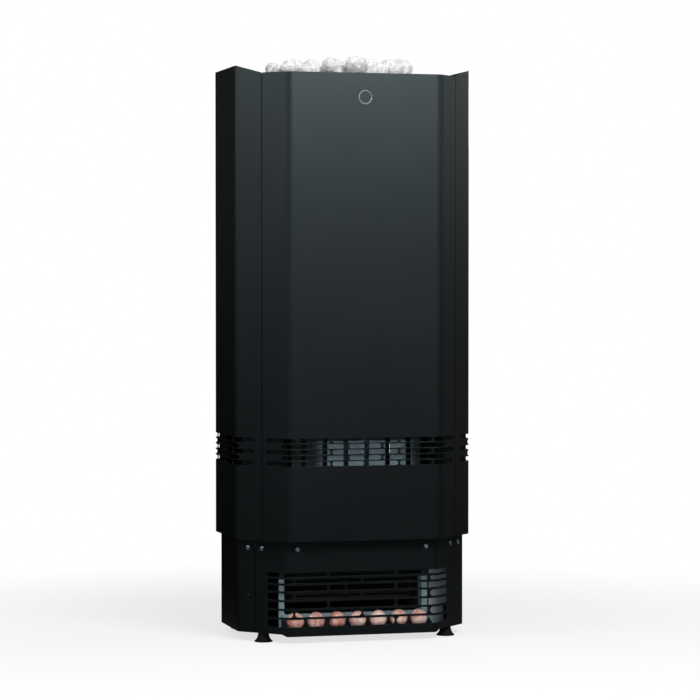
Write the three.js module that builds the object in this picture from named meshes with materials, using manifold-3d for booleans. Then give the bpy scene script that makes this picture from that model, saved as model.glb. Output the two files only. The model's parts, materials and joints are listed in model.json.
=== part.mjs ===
// Free-standing electric sauna heater: a folded steel casing round a chamber of stones, standing on a
// base with a fan, a slotted air outlet and a tray of salt balls.
// Millimetres, +Z up, front towards -Y. The origin is on the floor under the middle of the casing.

import * as THREE from "three";
import { mergeVertices } from "three/addons/utils/BufferGeometryUtils.js";
import Module from "manifold-3d";

const wasm = await Module();
wasm.setup();

// Sheet stock, folds and fits
const SHEET = 1.5; // folded panels, posts, brackets, duct and tray
const PLATE = 2; // deck, floor, grate and chamber walls
const FIT = 0.3; // between pieces that seat on or slip into each other
const FOLD = Math.PI / 4; // every casing and base corner is two folds of 45 degrees
const CASING_FACETS = 3; // facets of a casing fold
const BASE_FACETS = 2; // facets of a base fold
const SEAM = 1.6; // open joint between neighbouring panels
const OVERCUT = 1; // how far a cutting body reaches past the faces it opens
const WELD = 0.001; // grid on which the strips of a folded panel meet

// Casing
const CASING_WIDTH = 490;
const CASING_DEPTH = 368;
const CASING_CORNER = 88; // how far each slanted corner cuts into both walls
const CASING_RADIUS = 25; // outside radius of a fold
const CASING_BOTTOM = 205;
const FRONT_TOP = 1134;
const SIDE_RISE = 16; // how far the side panels stand above the front and rear panels
const BADGE_RADIUS = 14;
const BADGE_HEIGHT = 1086;

// Band of air slots round the casing
const VENT_BOTTOM = 354.5;
const VENT_ROWS = 5;
const VENT_ROW_PITCH = 11.5;
const VENT_SLOT_HEIGHT = 9;
const VENT_SLOT_PITCH = 70;
const VENT_WEB = 4; // sheet between two slots of a row
const VENT_EDGE = 9; // least sheet between a slot and a seam
const VENT_FACETS = 3; // facets of a slot's round end

// Posts behind the casing seams and straps to the chamber
const POST_WIDTH = 96;
const POST_DEPTH = 20;
const POST_TOP_DROP = 2; // below the front panel's top edge
const STRAP_WIDTH = 44;
const STRAP_FLANGE = 22;
const STRAP_DROP = 40; // below the chamber rim

// Base
const BASE_SIDE_INSET = 8;
const BASE_FRONT_INSET = 23.5;
const BASE_CORNER = 82;
const BASE_SEAM_SHIFT = 17; // seams of the base from the middles of its corners towards the sides
const BASE_RADIUS = 20;
const BASE_BOTTOM = 18.4;
const LIP_DROP = 4.5; // the front panel's middle hangs below its flanges
const LIP_BEVEL = 11;
const DECK_RISE = 9; // underside of the deck above the casing's lower edge
const COLLAR_HEIGHT = 28; // turned-down rim of the deck, inside the base panels

// Outlet grille in the base front panel: heights of the slot rows, from the lowest row up
const GRILLE_ROWS = [15, 13, 13, 13, 11, 8, 8];
const GRILLE_BOTTOM = 33;
const GRILLE_BAR = 4.5; // sheet between two rows
const GRILLE_WEB = 4;
const GRILLE_PITCH = 140; // between the webs of a row
const GRILLE_EDGE = 28; // from the ends of the rows to the seams
const GRILLE_FACETS = 4; // facets of a slot's round end

// Levelling feet
const FOOT_INSET = 13; // from the slanted corner's outer face
const FOOT_SHIFT = 5; // from the corner's middle towards the side wall
const FOOT_RADIUS = 18.3;
const FOOT_NECK = 10.5;
const FOOT_RIM = 2.6;
const FOOT_SHOULDER = 3.6; // where the bell's curve turns up to the neck
const STUD_RADIUS = 5;
const STUD_LENGTH = 44; // above the floor plate's underside
const NUT_RADIUS = 10;
const NUT_HEIGHT = 12;
const FOOT_FACETS = 3;
const FOOT_SIDES = 12;
const ROUND_FACETS = 16;

// Stone chamber, its skirt and its grate
const CHAMBER_WIDTH = 322;
const CHAMBER_DEPTH = 230;
const CHAMBER_RADIUS = 12;
const CHAMBER_FLOOR = 440;
const CHAMBER_TOP = 1120;
const LEDGE = 16; // turned-in foot of the chamber that carries the grate
const SKIRT_SLIT = 10;
const SKIRT_SLIT_PITCH = 43.5;
const SKIRT_SLITS = 6; // on the front and on the rear wall
const SKIRT_SIDE_SLITS = 4;
const SKIRT_WINDOW = 20; // wider opening beyond the last slit
const SKIRT_RAIL = 116; // closed height below the slits
const SKIRT_HEAD = 12; // closed height above the slits
const GRATE_SLOT = 8;
const GRATE_SLOT_LENGTH = 150;
const GRATE_SLOT_PITCH = 20;
const GRATE_FACETS = 2; // facets of a slot's round end

// Heating elements: each is one tube bent into upright legs
const ELEMENTS = 3;
const ELEMENT_LEGS = 4;
const ELEMENT_RADIUS = 4.25;
const ELEMENT_FIT = 1; // round a cold end where it passes a plate
const ELEMENT_PITCH = 60; // between elements, front to rear
const ELEMENT_LEG_PITCH = 58;
const ELEMENT_TOP = 1000;
const ELEMENT_LOW_BEND = 500;
const ELEMENT_TAIL = 24; // below the carrier plate
const ELEMENT_BEND_STEPS = 5;
const ELEMENT_SIDES = 6;
const CARRIER_DROP = 26; // carrier plate below the grate
const CARRIER_MARGIN = 20; // carrier plate beyond the outer legs

// Stones
const STONE_FILL_TOP = 1125;
const STONE_CLEARANCE = 3; // between stones and chamber wall or element
const STONE_SWELL = [0.9, 1.1]; // how far the points of a stone are pushed in and out
const STONE_BREADTH = [0.72, 0.92]; // share of the length
const STONE_THICKNESS = [0.56, 0.72]; // share of the length
const STONE_TILT = [-0.25, 0.25]; // radians
const BED_STONE = [66, 78]; // lengths of the stones at the top of the bed
const BED_COLUMNS = 4;
const BED_ROWS = 3;
const BED_EDGE = 33; // stone middles to chamber wall
const BED_STRAY = [-0.08, 0.08]; // share of the spacing
const BED_LIFT = [-10, -6]; // stone middles above the fill, at the ends of the heap
const BED_CROWN = 8; // added lift in the middle of the heap
const BED_SEED = 5; // start of the numbers that vary these stones
const LOOSE_STONE = [40, 62]; // lengths of the stones lying on the bed
const LOOSE_COLUMNS = 4;
const LOOSE_ROWS = 3;
const LOOSE_EDGE = 30; // stone middles to chamber wall
const LOOSE_STRAY = [-0.18, 0.18]; // share of the spacing
const LOOSE_STAGGER = 0.5; // every second row to the right, as a share of the spacing
const LOOSE_SEED = 4640534; // start of the numbers that vary these stones
const STONE_DROP_STEPS = 16;

// Air duct, fan and salt tray in the base
const DUCT_SETBACK = 68; // window frame behind the base front
const DUCT_WIDTH = 288;
const DUCT_FRAME = 11.5; // visible width of the window frame
const MOTOR_SCREEN = 98; // wing of the frame that slants back in front of the motor
const DUCT_SILL = 51;
const DUCT_HEAD = 150;
const DUCT_HEAD_DEPTH = 56;
const FAN_RADIUS = 34;
const FAN_GAP = 10; // impeller to scroll
const FAN_END_GAP = 5; // impeller to duct wall
const FAN_AXIS_Y = -4;
const FAN_BLADES = 10;
const FAN_BLADE_DEPTH = 9;
const FAN_BLADE_THICKNESS = 1.4;
const FAN_BLADE_RAKE = 4.5; // tip ahead of the root
const FAN_DISC = 2;
const FAN_CELLS = 2;
const SHAFT_RADIUS = 4;
const SHAFT_IN_MOTOR = 14;
const SHAFT_HOLE_RADIUS = 10;
const SCROLL_TOP = 190;
const SCROLL_FACETS = 6;
const MOTOR_RADIUS = 30;
const MOTOR_LENGTH = 46;
const MOTOR_FLANGE = 4;
const MOTOR_FLANGE_RADIUS = 38;
const BUSH_FLANGE_RADIUS = 15;
const BUSH_FLANGE = 4;
const DECK_PORT_WIDTH = 230;
const DECK_PORT_DEPTH = 90;
const TRAY_SETBACK = 3; // from the base front panel's inner face
const TRAY_FRONT_HEIGHT = 9;
const BALL_RADIUS = 18;
const BALL_PITCH = 43;
const BALLS = 7;
const BALL_END_GAP = 1.5;
const BALL_FACETS = 8; // round the ball
const BALL_RINGS = 6; // from the top of the ball to its bottom

// Terminal box and cable entry at the rear of the base
const TERMINAL_WIDTH = 140;
const TERMINAL_DEPTH = 58;
const TERMINAL_HEIGHT = 86;
const TERMINAL_SETBACK = 14; // from the base rear panel
const TERMINAL_POLES = 5;
const POLE_PITCH = 16;
const BLOCK_DEPTH = 26;
const BLOCK_HEIGHT = 24;
const POLE_SLOT = 9;
const POLE_SLOT_DEPTH = 10;
const LID_LIP = 10;
const GLAND_X = 110;
const GLAND_Z = 64;
const GLAND_RADIUS = 13;
const GLAND_BORE = 7;
const GLAND_THREAD = 10;
const GLAND_OUT = 16;
const GLAND_IN = 14;

// Planes and outlines that several pieces share
const deckBottom = CASING_BOTTOM + DECK_RISE;
const deckTop = deckBottom + PLATE;
const floorTop = BASE_BOTTOM + PLATE;
const casingPlan = {
  halfWidth: CASING_WIDTH / 2,
  halfDepth: CASING_DEPTH / 2,
  corner: CASING_CORNER,
  radius: CASING_RADIUS,
  facets: CASING_FACETS,
};
const basePlan = {
  halfWidth: CASING_WIDTH / 2 - BASE_SIDE_INSET,
  halfDepth: CASING_DEPTH / 2 - BASE_FRONT_INSET,
  corner: BASE_CORNER,
  radius: BASE_RADIUS,
  facets: BASE_FACETS,
};
const ductFront = -basePlan.halfDepth + DUCT_SETBACK;
const fanAxis = { y: FAN_AXIS_Y, z: DUCT_SILL + SHEET + FAN_RADIUS + FAN_GAP };
const carrierTop = CHAMBER_FLOOR - CARRIER_DROP;
const elementSpan = (ELEMENT_LEGS - 1) * ELEMENT_LEG_PITCH;
const motorFace = DUCT_WIDTH / 2 + SHEET + FIT;

// Finishes
const finish = (color, roughness, metalness) =>
  new THREE.MeshStandardMaterial({ color, roughness, metalness });
const blackPaint = finish(0x15181a, 0.45, 0.2);
const galvanised = finish(0xaab4b8, 0.4, 0.9);
const chamberSteel = finish(0x6d7072, 0.5, 0.9);
const elementSteel = finish(0x4a4746, 0.4, 0.9);
const blackPlastic = finish(0x101112, 0.6, 0);
const ceramic = finish(0xd9d2c3, 0.5, 0);
const footRubber = finish(0x0c0c0c, 0.8, 0);
const saltPink = finish(0xd98a70, 0.6, 0);
const paleStone = finish(0xc9c8c4, 0.85, 0);
const badgeSteel = finish(0x8f9799, 0.35, 0.9);

// Solids: a closed geometry becomes something that can be joined and cut, and back again
function solid(geometry) {
  const bare = geometry.clone();
  bare.deleteAttribute("normal");
  bare.deleteAttribute("uv");
  const merged = mergeVertices(bare, 1e-4);
  const triVerts = new Uint32Array(merged.index.array);
  const vertProperties = new Float32Array(merged.attributes.position.array);
  return new wasm.Manifold(new wasm.Mesh({ numProp: 3, vertProperties, triVerts }));
}

function geometryOf(body) {
  const mesh = body.getMesh();
  const geometry = new THREE.BufferGeometry();
  geometry.setAttribute("position", new THREE.BufferAttribute(mesh.vertProperties, 3));
  geometry.setIndex(new THREE.BufferAttribute(mesh.triVerts, 1));
  const flat = geometry.toNonIndexed();
  flat.computeVertexNormals();
  return flat;
}

const joined = (bodies) => bodies.reduce((whole, body) => whole.add(body));
const cutBy = (body, tools) => tools.reduce((rest, tool) => rest.subtract(tool), body);

// The finished object: every sub-part is one named mesh in this group
const heater = new THREE.Group();
heater.name = "sauna_heater";

function addPart(name, shape, material, place = {}) {
  const geometry = shape.isBufferGeometry ? shape : geometryOf(shape);
  const mesh = new THREE.Mesh(geometry, material);
  mesh.name = name;
  mesh.position.set(place.x ?? 0, place.y ?? 0, place.z ?? 0);
  mesh.rotation.z = place.turn ?? 0;
  heater.add(mesh);
}

// Shapes drawn in one plane and drawn out along the third axis
function prismZ(shape, low, high) {
  const drawn = new THREE.ExtrudeGeometry(shape, { depth: high - low, bevelEnabled: false });
  return drawn.translate(0, 0, low);
}

// The shape's x is the object's Y and its y is the object's Z
function prismX(shape, low, high) {
  const drawn = new THREE.ExtrudeGeometry(shape, { depth: high - low, bevelEnabled: false });
  const axes = [new THREE.Vector3(0, 1, 0), new THREE.Vector3(0, 0, 1), new THREE.Vector3(1, 0, 0)];
  return drawn.applyMatrix4(new THREE.Matrix4().makeBasis(...axes)).translate(low, 0, 0);
}

function block(low, high) {
  const size = high.map((value, axis) => value - low[axis]);
  const middle = high.map((value, axis) => (value + low[axis]) / 2);
  return new THREE.BoxGeometry(...size).translate(...middle);
}

function rodZ(radius, low, high, x = 0, y = 0, sides = ROUND_FACETS) {
  const rod = new THREE.CylinderGeometry(radius, radius, high - low, sides);
  return rod.rotateX(Math.PI / 2).translate(x, y, (low + high) / 2);
}

function rodX(radius, low, high, y, z, sides = ROUND_FACETS) {
  const rod = new THREE.CylinderGeometry(radius, radius, high - low, sides);
  return rod.rotateZ(Math.PI / 2).translate((low + high) / 2, y, z);
}

function rodY(radius, low, high, x, z, sides = ROUND_FACETS) {
  const rod = new THREE.CylinderGeometry(radius, radius, high - low, sides);
  return rod.translate(x, (low + high) / 2, z);
}

const polygon = (points) => new THREE.Shape(points.map(([x, y]) => new THREE.Vector2(x, y)));
const holePath = (points) => new THREE.Path(points.map(([x, y]) => new THREE.Vector2(x, y)));

// Points along an arc, both ends included
function arcPoints(x, y, radius, from, to, facets) {
  const points = [];
  for (let k = 0; k <= facets; k++) {
    const angle = from + ((to - from) * k) / facets;
    points.push([x + radius * Math.cos(angle), y + radius * Math.sin(angle)]);
  }
  return points;
}

const circlePoints = (x, y, radius, facets) =>
  arcPoints(x, y, radius, 0, 2 * Math.PI, facets).slice(1);

// A counter-clockwise polygon with each corner rounded by the same number of facets
function roundedPolygon(points, radius, facets) {
  const outline = [];
  points.forEach((point, i) => {
    const before = points[(i + points.length - 1) % points.length];
    const after = points[(i + 1) % points.length];
    const inAngle = Math.atan2(point[1] - before[1], point[0] - before[0]);
    const outAngle = Math.atan2(after[1] - point[1], after[0] - point[0]);
    const turn = (outAngle - inAngle + 4 * Math.PI) % (2 * Math.PI);
    const tangent = radius * Math.tan(turn / 2);
    const centreX = point[0] - tangent * Math.cos(inAngle) - radius * Math.sin(inAngle);
    const centreY = point[1] - tangent * Math.sin(inAngle) + radius * Math.cos(inAngle);
    const start = inAngle - Math.PI / 2;
    outline.push(...arcPoints(centreX, centreY, radius, start, start + turn, facets));
  });
  return polygon(outline);
}

function roundedRectangle(width, depth, radius) {
  const corners = [
    [-width / 2, -depth / 2],
    [width / 2, -depth / 2],
    [width / 2, depth / 2],
    [-width / 2, depth / 2],
  ];
  return roundedPolygon(corners, radius, CASING_FACETS);
}

// The plan of the casing or the base, moved inwards by an inset all round
function planOutline(plan, inset) {
  const x = plan.halfWidth - inset;
  const y = plan.halfDepth - inset;
  const corner = plan.corner - inset * (2 - Math.SQRT2);
  const apexes = [
    [-x + corner, -y],
    [x - corner, -y],
    [x, -y + corner],
    [x, y - corner],
    [x - corner, y],
    [-x + corner, y],
    [-x, y - corner],
    [-x, -y + corner],
  ];
  return roundedPolygon(apexes, plan.radius - inset, plan.facets);
}

// A level slot with round ends, drawn on a flat blank
function slotPath(middle, height, length, level, facets) {
  const radius = height / 2;
  const reach = length / 2 - radius;
  const quarter = Math.PI / 2;
  return holePath([
    ...arcPoints(middle + reach, level, radius, -quarter, quarter, facets),
    ...arcPoints(middle - reach, level, radius, quarter, 3 * quarter, facets),
  ]);
}

// How one panel folds: a flat middle, a fold at each side and a flange that ends at the seam
function foldPlan(wallLength, plan, seamShift = 0) {
  const tangent = plan.radius * Math.tan(FOLD / 2);
  const flat = wallLength / 2 - plan.corner - tangent;
  const arc = plan.radius * FOLD;
  const flange = plan.corner / Math.SQRT2 - tangent - SEAM / 2 + seamShift;
  const { radius, facets } = plan;
  return { flat, arc, radius, facets, apex: flat + tangent, half: flat + arc + flange };
}

// Where a point of the blank lies once its panel is folded: along is measured on the outer face from
// the middle, deep is measured inwards from that face
function foldedPoint(along, deep, fold) {
  const side = Math.sign(along);
  const reach = Math.abs(along);
  if (reach <= fold.flat) return [along, deep];
  const angle = Math.min((reach - fold.flat) / fold.radius, FOLD);
  const rest = Math.max(reach - fold.flat - fold.arc, 0);
  const across = fold.flat + (fold.radius - deep) * Math.sin(angle) + rest * Math.cos(angle);
  const inward = fold.radius - (fold.radius - deep) * Math.cos(angle) + rest * Math.sin(angle);
  return [side * across, inward];
}

// A cut blank (along, level) folded into a panel whose outer face is the plane y = 0. The blank is
// parted at the fold lines, each strip is bent, and the strips are joined again.
function foldedPanel(blank, fold) {
  const flat = solid(prismZ(blank, 0, SHEET));
  const lines = [-fold.half - OVERCUT];
  for (let k = fold.facets; k >= 0; k--) lines.push(-fold.flat - (fold.arc * k) / fold.facets);
  for (let k = 0; k <= fold.facets; k++) lines.push(fold.flat + (fold.arc * k) / fold.facets);
  lines.push(fold.half + OVERCUT);
  const strips = lines.slice(1).map((end, i) => {
    const start = lines[i];
    const slab = block([start, 0, -OVERCUT], [end, 2 * FRONT_TOP, SHEET + OVERCUT]);
    const mesh = flat.intersect(solid(slab)).getMesh();
    const vertProperties = new Float32Array(mesh.vertProperties.length);
    for (let v = 0; v < vertProperties.length; v += 3) {
      let along = mesh.vertProperties[v];
      if (Math.abs(along - start) < WELD) along = start;
      if (Math.abs(along - end) < WELD) along = end;
      const level = WELD * Math.round(mesh.vertProperties[v + 1] / WELD);
      const [across, inward] = foldedPoint(along, SHEET - mesh.vertProperties[v + 2], fold);
      vertProperties.set([across, inward, level], v);
    }
    return new wasm.Manifold(new wasm.Mesh({ numProp: 3, vertProperties, triVerts: mesh.triVerts }));
  });
  return joined(strips);
}

// Casing panels

function ventSlots(half) {
  const slots = [];
  for (let row = 0; row < VENT_ROWS; row++) {
    const level = VENT_BOTTOM + VENT_SLOT_HEIGHT / 2 + row * VENT_ROW_PITCH;
    const length = VENT_SLOT_PITCH - VENT_WEB;
    const first = row % 2 ? 0 : VENT_SLOT_PITCH / 2;
    for (let middle = first; middle + length / 2 + VENT_EDGE <= half; middle += VENT_SLOT_PITCH) {
      slots.push(slotPath(middle, VENT_SLOT_HEIGHT, length, level, VENT_FACETS));
      if (middle > 0) slots.push(slotPath(-middle, VENT_SLOT_HEIGHT, length, level, VENT_FACETS));
    }
  }
  return slots;
}

function casingFace(badge) {
  const fold = foldPlan(CASING_WIDTH, casingPlan);
  const blank = polygon([
    [-fold.half, CASING_BOTTOM],
    [fold.half, CASING_BOTTOM],
    [fold.half, FRONT_TOP],
    [-fold.half, FRONT_TOP],
  ]);
  blank.holes.push(...ventSlots(fold.half));
  if (badge)
    blank.holes.push(holePath(circlePoints(0, BADGE_HEIGHT, BADGE_RADIUS + FIT, ROUND_FACETS)));
  return foldedPanel(blank, fold);
}

function casingSide() {
  const fold = foldPlan(CASING_DEPTH, casingPlan);
  const blank = polygon([
    [-fold.half, CASING_BOTTOM],
    [fold.half, CASING_BOTTOM],
    [fold.half, FRONT_TOP],
    [fold.apex, FRONT_TOP + SIDE_RISE],
    [-fold.apex, FRONT_TOP + SIDE_RISE],
    [-fold.half, FRONT_TOP],
  ]);
  blank.holes.push(...ventSlots(fold.half));
  return foldedPanel(blank, fold);
}

addPart("front_panel", casingFace(true), blackPaint, { y: -casingPlan.halfDepth });
addPart("rear_panel", casingFace(false), blackPaint, { y: casingPlan.halfDepth, turn: Math.PI });
addPart("left_side_panel", casingSide(), blackPaint, {
  x: -casingPlan.halfWidth,
  turn: -Math.PI / 2,
});
addPart("right_side_panel", casingSide(), blackPaint, {
  x: casingPlan.halfWidth,
  turn: Math.PI / 2,
});

// Plain disc let into the front panel, with its face flush
const badgeBack = -casingPlan.halfDepth + SHEET;
addPart(
  "badge_disc",
  rodY(BADGE_RADIUS, badgeBack - SHEET, badgeBack, 0, BADGE_HEIGHT),
  badgeSteel,
);

// Base panels

const baseAcross = foldPlan(2 * basePlan.halfWidth, basePlan, BASE_SEAM_SHIFT);
const baseAlong = foldPlan(2 * basePlan.halfDepth, basePlan, -BASE_SEAM_SHIFT);

function baseWall(fold, holes, lip) {
  const outline = [
    [fold.half, BASE_BOTTOM],
    [fold.half, deckBottom - FIT],
    [-fold.half, deckBottom - FIT],
    [-fold.half, BASE_BOTTOM],
  ];
  if (lip) {
    const narrow = fold.flat + fold.arc / 2;
    const wide = narrow + LIP_BEVEL;
    outline.push([-wide, BASE_BOTTOM], [-narrow, BASE_BOTTOM - LIP_DROP]);
    outline.push([narrow, BASE_BOTTOM - LIP_DROP], [wide, BASE_BOTTOM]);
  }
  const blank = polygon(outline);
  blank.holes.push(...holes);
  return foldedPanel(blank, fold);
}

// Rows of long slots, with the webs of one row over the middles of the slots of the next
function grilleSlots() {
  const slots = [];
  const reach = baseAcross.half - GRILLE_EDGE;
  let low = GRILLE_BOTTOM;
  GRILLE_ROWS.forEach((height, row) => {
    const ends = [-reach - GRILLE_WEB / 2];
    const first = row % 2 ? 0 : GRILLE_PITCH / 2;
    const webs = [];
    for (let web = first; web < reach; web += GRILLE_PITCH) webs.push(web);
    const mirrored = webs.filter((web) => web > 0).map((web) => -web);
    ends.push(...mirrored.reverse(), ...webs, reach + GRILLE_WEB / 2);
    for (let i = 1; i < ends.length; i++) {
      const length = ends[i] - ends[i - 1] - GRILLE_WEB;
      const middle = (ends[i] + ends[i - 1]) / 2;
      slots.push(slotPath(middle, height, length, low + height / 2, GRILLE_FACETS));
    }
    low += height + GRILLE_BAR;
  });
  return slots;
}

// Seen from behind, the rear panel's blank runs the other way, so the cable entry changes sides
const glandHole = holePath(circlePoints(-GLAND_X, GLAND_Z, GLAND_THREAD + FIT, ROUND_FACETS));
addPart("base_front_panel", baseWall(baseAcross, grilleSlots(), true), blackPaint, {
  y: -basePlan.halfDepth,
});
addPart("base_rear_panel", baseWall(baseAcross, [glandHole], false), blackPaint, {
  y: basePlan.halfDepth,
  turn: Math.PI,
});
addPart("base_left_panel", baseWall(baseAlong, [], false), blackPaint, {
  x: -basePlan.halfWidth,
  turn: -Math.PI / 2,
});
addPart("base_right_panel", baseWall(baseAlong, [], false), blackPaint, {
  x: basePlan.halfWidth,
  turn: Math.PI / 2,
});

// Floor plate with welded nuts for the levelling feet

const footX = basePlan.halfWidth - basePlan.corner / 2 - (FOOT_INSET - FOOT_SHIFT) / Math.SQRT2;
const footY = basePlan.halfDepth - basePlan.corner / 2 - (FOOT_INSET + FOOT_SHIFT) / Math.SQRT2;
const corners = [
  { tag: "front_left", x: -1, y: -1 },
  { tag: "front_right", x: 1, y: -1 },
  { tag: "rear_left", x: -1, y: 1 },
  { tag: "rear_right", x: 1, y: 1 },
];

function baseFloor() {
  const plate = solid(prismZ(planOutline(basePlan, SHEET + FIT), BASE_BOTTOM, floorTop));
  const nuts = corners.map(({ x, y }) =>
    solid(rodZ(NUT_RADIUS, BASE_BOTTOM, floorTop + NUT_HEIGHT, x * footX, y * footY, 6)),
  );
  const bores = corners.map(({ x, y }) =>
    solid(rodZ(STUD_RADIUS + FIT, 0, floorTop + NUT_HEIGHT + OVERCUT, x * footX, y * footY, FOOT_SIDES)),
  );
  return cutBy(joined([plate, ...nuts]), bores);
}

addPart("base_floor", baseFloor(), galvanised);

// Bell-shaped foot and its stud, turned in one profile
function levellingFoot() {
  const neckTop = BASE_BOTTOM - FIT;
  const profile = new THREE.Path();
  profile.moveTo(0, 0);
  profile.lineTo(FOOT_RADIUS, 0);
  profile.lineTo(FOOT_RADIUS, FOOT_RIM);
  profile.quadraticCurveTo(FOOT_NECK, FOOT_SHOULDER, FOOT_NECK, neckTop);
  profile.lineTo(STUD_RADIUS, neckTop);
  profile.lineTo(STUD_RADIUS, BASE_BOTTOM + STUD_LENGTH);
  profile.lineTo(0, BASE_BOTTOM + STUD_LENGTH);
  const turned = new THREE.LatheGeometry(profile.getPoints(FOOT_FACETS), FOOT_SIDES);
  return turned.rotateX(Math.PI / 2);
}

for (const { tag, x, y } of corners)
  addPart("foot_" + tag, levellingFoot(), footRubber, { x: x * footX, y: y * footY });

// Deck over the base: carries the posts and the chamber skirt, with an air port over the fan

function deckPlate() {
  const seat = (SHEET + FIT) * Math.SQRT2;
  const reach = casingPlan.halfWidth + casingPlan.halfDepth - casingPlan.corner - seat;
  const { halfWidth, halfDepth } = basePlan;
  const earX = reach - halfDepth;
  const earY = reach - halfWidth;
  const plate = polygon([
    [-earX, -halfDepth],
    [earX, -halfDepth],
    [halfWidth, -earY],
    [halfWidth, earY],
    [earX, halfDepth],
    [-earX, halfDepth],
    [-halfWidth, earY],
    [-halfWidth, -earY],
  ]);
  const port = block(
    [-DECK_PORT_WIDTH / 2, fanAxis.y - DECK_PORT_DEPTH / 2, deckBottom - OVERCUT],
    [DECK_PORT_WIDTH / 2, fanAxis.y + DECK_PORT_DEPTH / 2, deckTop + OVERCUT],
  );
  const collarLow = deckBottom - COLLAR_HEIGHT;
  const collar = solid(prismZ(planOutline(basePlan, SHEET + FIT), collarLow, deckTop));
  const hollow = planOutline(basePlan, 2 * SHEET + FIT);
  const inside = solid(prismZ(hollow, collarLow - OVERCUT, deckBottom));
  const flat = solid(prismZ(plate, deckBottom, deckTop));
  return cutBy(collar.subtract(inside).add(flat), [solid(port)]);
}

addPart("deck_plate", deckPlate(), galvanised);

// Posts behind the four casing seams: each is drawn with its seam at the origin, then turned

const seamX = casingPlan.halfWidth - casingPlan.corner / 2;
const seamY = casingPlan.halfDepth - casingPlan.corner / 2;
const postFace = SHEET + FIT;
const postTop = FRONT_TOP - POST_TOP_DROP;

function cornerPost() {
  const half = POST_WIDTH / 2;
  const section = polygon([
    [-half, postFace],
    [half, postFace],
    [half, postFace + POST_DEPTH],
    [half - SHEET, postFace + POST_DEPTH],
    [half - SHEET, postFace + SHEET],
    [-half + SHEET, postFace + SHEET],
    [-half + SHEET, postFace + POST_DEPTH],
    [-half, postFace + POST_DEPTH],
  ]);
  return prismZ(section, deckTop + FIT, postTop);
}

// Strap from a post to the rounded corner of the chamber, with a flange turned down along the post
function chamberStrap() {
  const start = postFace + SHEET + FIT;
  const cornerDepth = (seamX - CHAMBER_WIDTH / 2 + seamY - CHAMBER_DEPTH / 2) / Math.SQRT2;
  const end = cornerDepth + CHAMBER_RADIUS * (Math.SQRT2 - 1) - FIT;
  const level = CHAMBER_TOP - STRAP_DROP;
  const section = polygon([
    [start, level - STRAP_FLANGE],
    [start + SHEET, level - STRAP_FLANGE],
    [start + SHEET, level - SHEET],
    [end, level - SHEET],
    [end, level],
    [start, level],
  ]);
  return prismX(section, -STRAP_WIDTH / 2, STRAP_WIDTH / 2);
}

for (const { tag, x, y } of corners) {
  const turn = Math.atan2(x, -y);
  const place = { x: x * seamX, y: y * seamY, turn };
  addPart("corner_post_" + tag, cornerPost(), blackPaint, place);
  addPart("chamber_strap_" + tag, chamberStrap(), galvanised, place);
}

// Stone chamber on its slotted skirt

function sleeve(low, high, wall) {
  const outer = prismZ(roundedRectangle(CHAMBER_WIDTH, CHAMBER_DEPTH, CHAMBER_RADIUS), low, high);
  const inner = prismZ(
    roundedRectangle(CHAMBER_WIDTH - 2 * wall, CHAMBER_DEPTH - 2 * wall, CHAMBER_RADIUS - wall),
    low - OVERCUT,
    high + OVERCUT,
  );
  return solid(outer).subtract(solid(inner));
}

function chamberSkirt() {
  const low = deckTop + FIT;
  const high = CHAMBER_FLOOR - FIT;
  const slitLow = low + SKIRT_RAIL;
  const slitHigh = high - SKIRT_HEAD;
  const cuts = [];
  const across = (middle, width) =>
    cuts.push(
      block(
        [middle - width / 2, -CHAMBER_DEPTH, slitLow],
        [middle + width / 2, CHAMBER_DEPTH, slitHigh],
      ),
    );
  for (let i = 0; i < SKIRT_SLITS; i++)
    across((i - (SKIRT_SLITS - 1) / 2) * SKIRT_SLIT_PITCH, SKIRT_SLIT);
  const windowX = ((SKIRT_SLITS + 1) / 2) * SKIRT_SLIT_PITCH - (SKIRT_SLIT + SKIRT_WINDOW) / 4;
  across(windowX, SKIRT_WINDOW);
  across(-windowX, SKIRT_WINDOW);
  for (let i = 0; i < SKIRT_SIDE_SLITS; i++) {
    const middle = (i - (SKIRT_SIDE_SLITS - 1) / 2) * SKIRT_SLIT_PITCH;
    cuts.push(
      block(
        [-CHAMBER_WIDTH, middle - SKIRT_SLIT / 2, slitLow],
        [CHAMBER_WIDTH, middle + SKIRT_SLIT / 2, slitHigh],
      ),
    );
  }
  return cutBy(sleeve(low, high, SHEET), cuts.map(solid));
}

function stoneChamber() {
  const outline = roundedRectangle(
    CHAMBER_WIDTH - 2 * PLATE,
    CHAMBER_DEPTH - 2 * PLATE,
    CHAMBER_RADIUS - PLATE,
  );
  const x = CHAMBER_WIDTH / 2 - LEDGE;
  const y = CHAMBER_DEPTH / 2 - LEDGE;
  const opening = [
    [-x, -y],
    [-x, y],
    [x, y],
    [x, -y],
  ];
  outline.holes.push(holePath(opening));
  const ledge = solid(prismZ(outline, CHAMBER_FLOOR, CHAMBER_FLOOR + PLATE));
  return sleeve(CHAMBER_FLOOR, CHAMBER_TOP, PLATE).add(ledge);
}

const grateBottom = CHAMBER_FLOOR + PLATE + FIT;
const grateTop = grateBottom + PLATE;
const legX = (leg) => leg * ELEMENT_LEG_PITCH - elementSpan / 2;
const elementY = (index) => (index - (ELEMENTS - 1) / 2) * ELEMENT_PITCH;

// Holes for the two cold ends of every element
function elementHoles() {
  const radius = ELEMENT_RADIUS + ELEMENT_FIT;
  const holes = [];
  for (let i = 0; i < ELEMENTS; i++)
    for (const x of [-elementSpan / 2, elementSpan / 2])
      holes.push(solid(rodZ(radius, 0, CHAMBER_TOP, x, elementY(i), ELEMENT_SIDES)));
  return holes;
}

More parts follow.
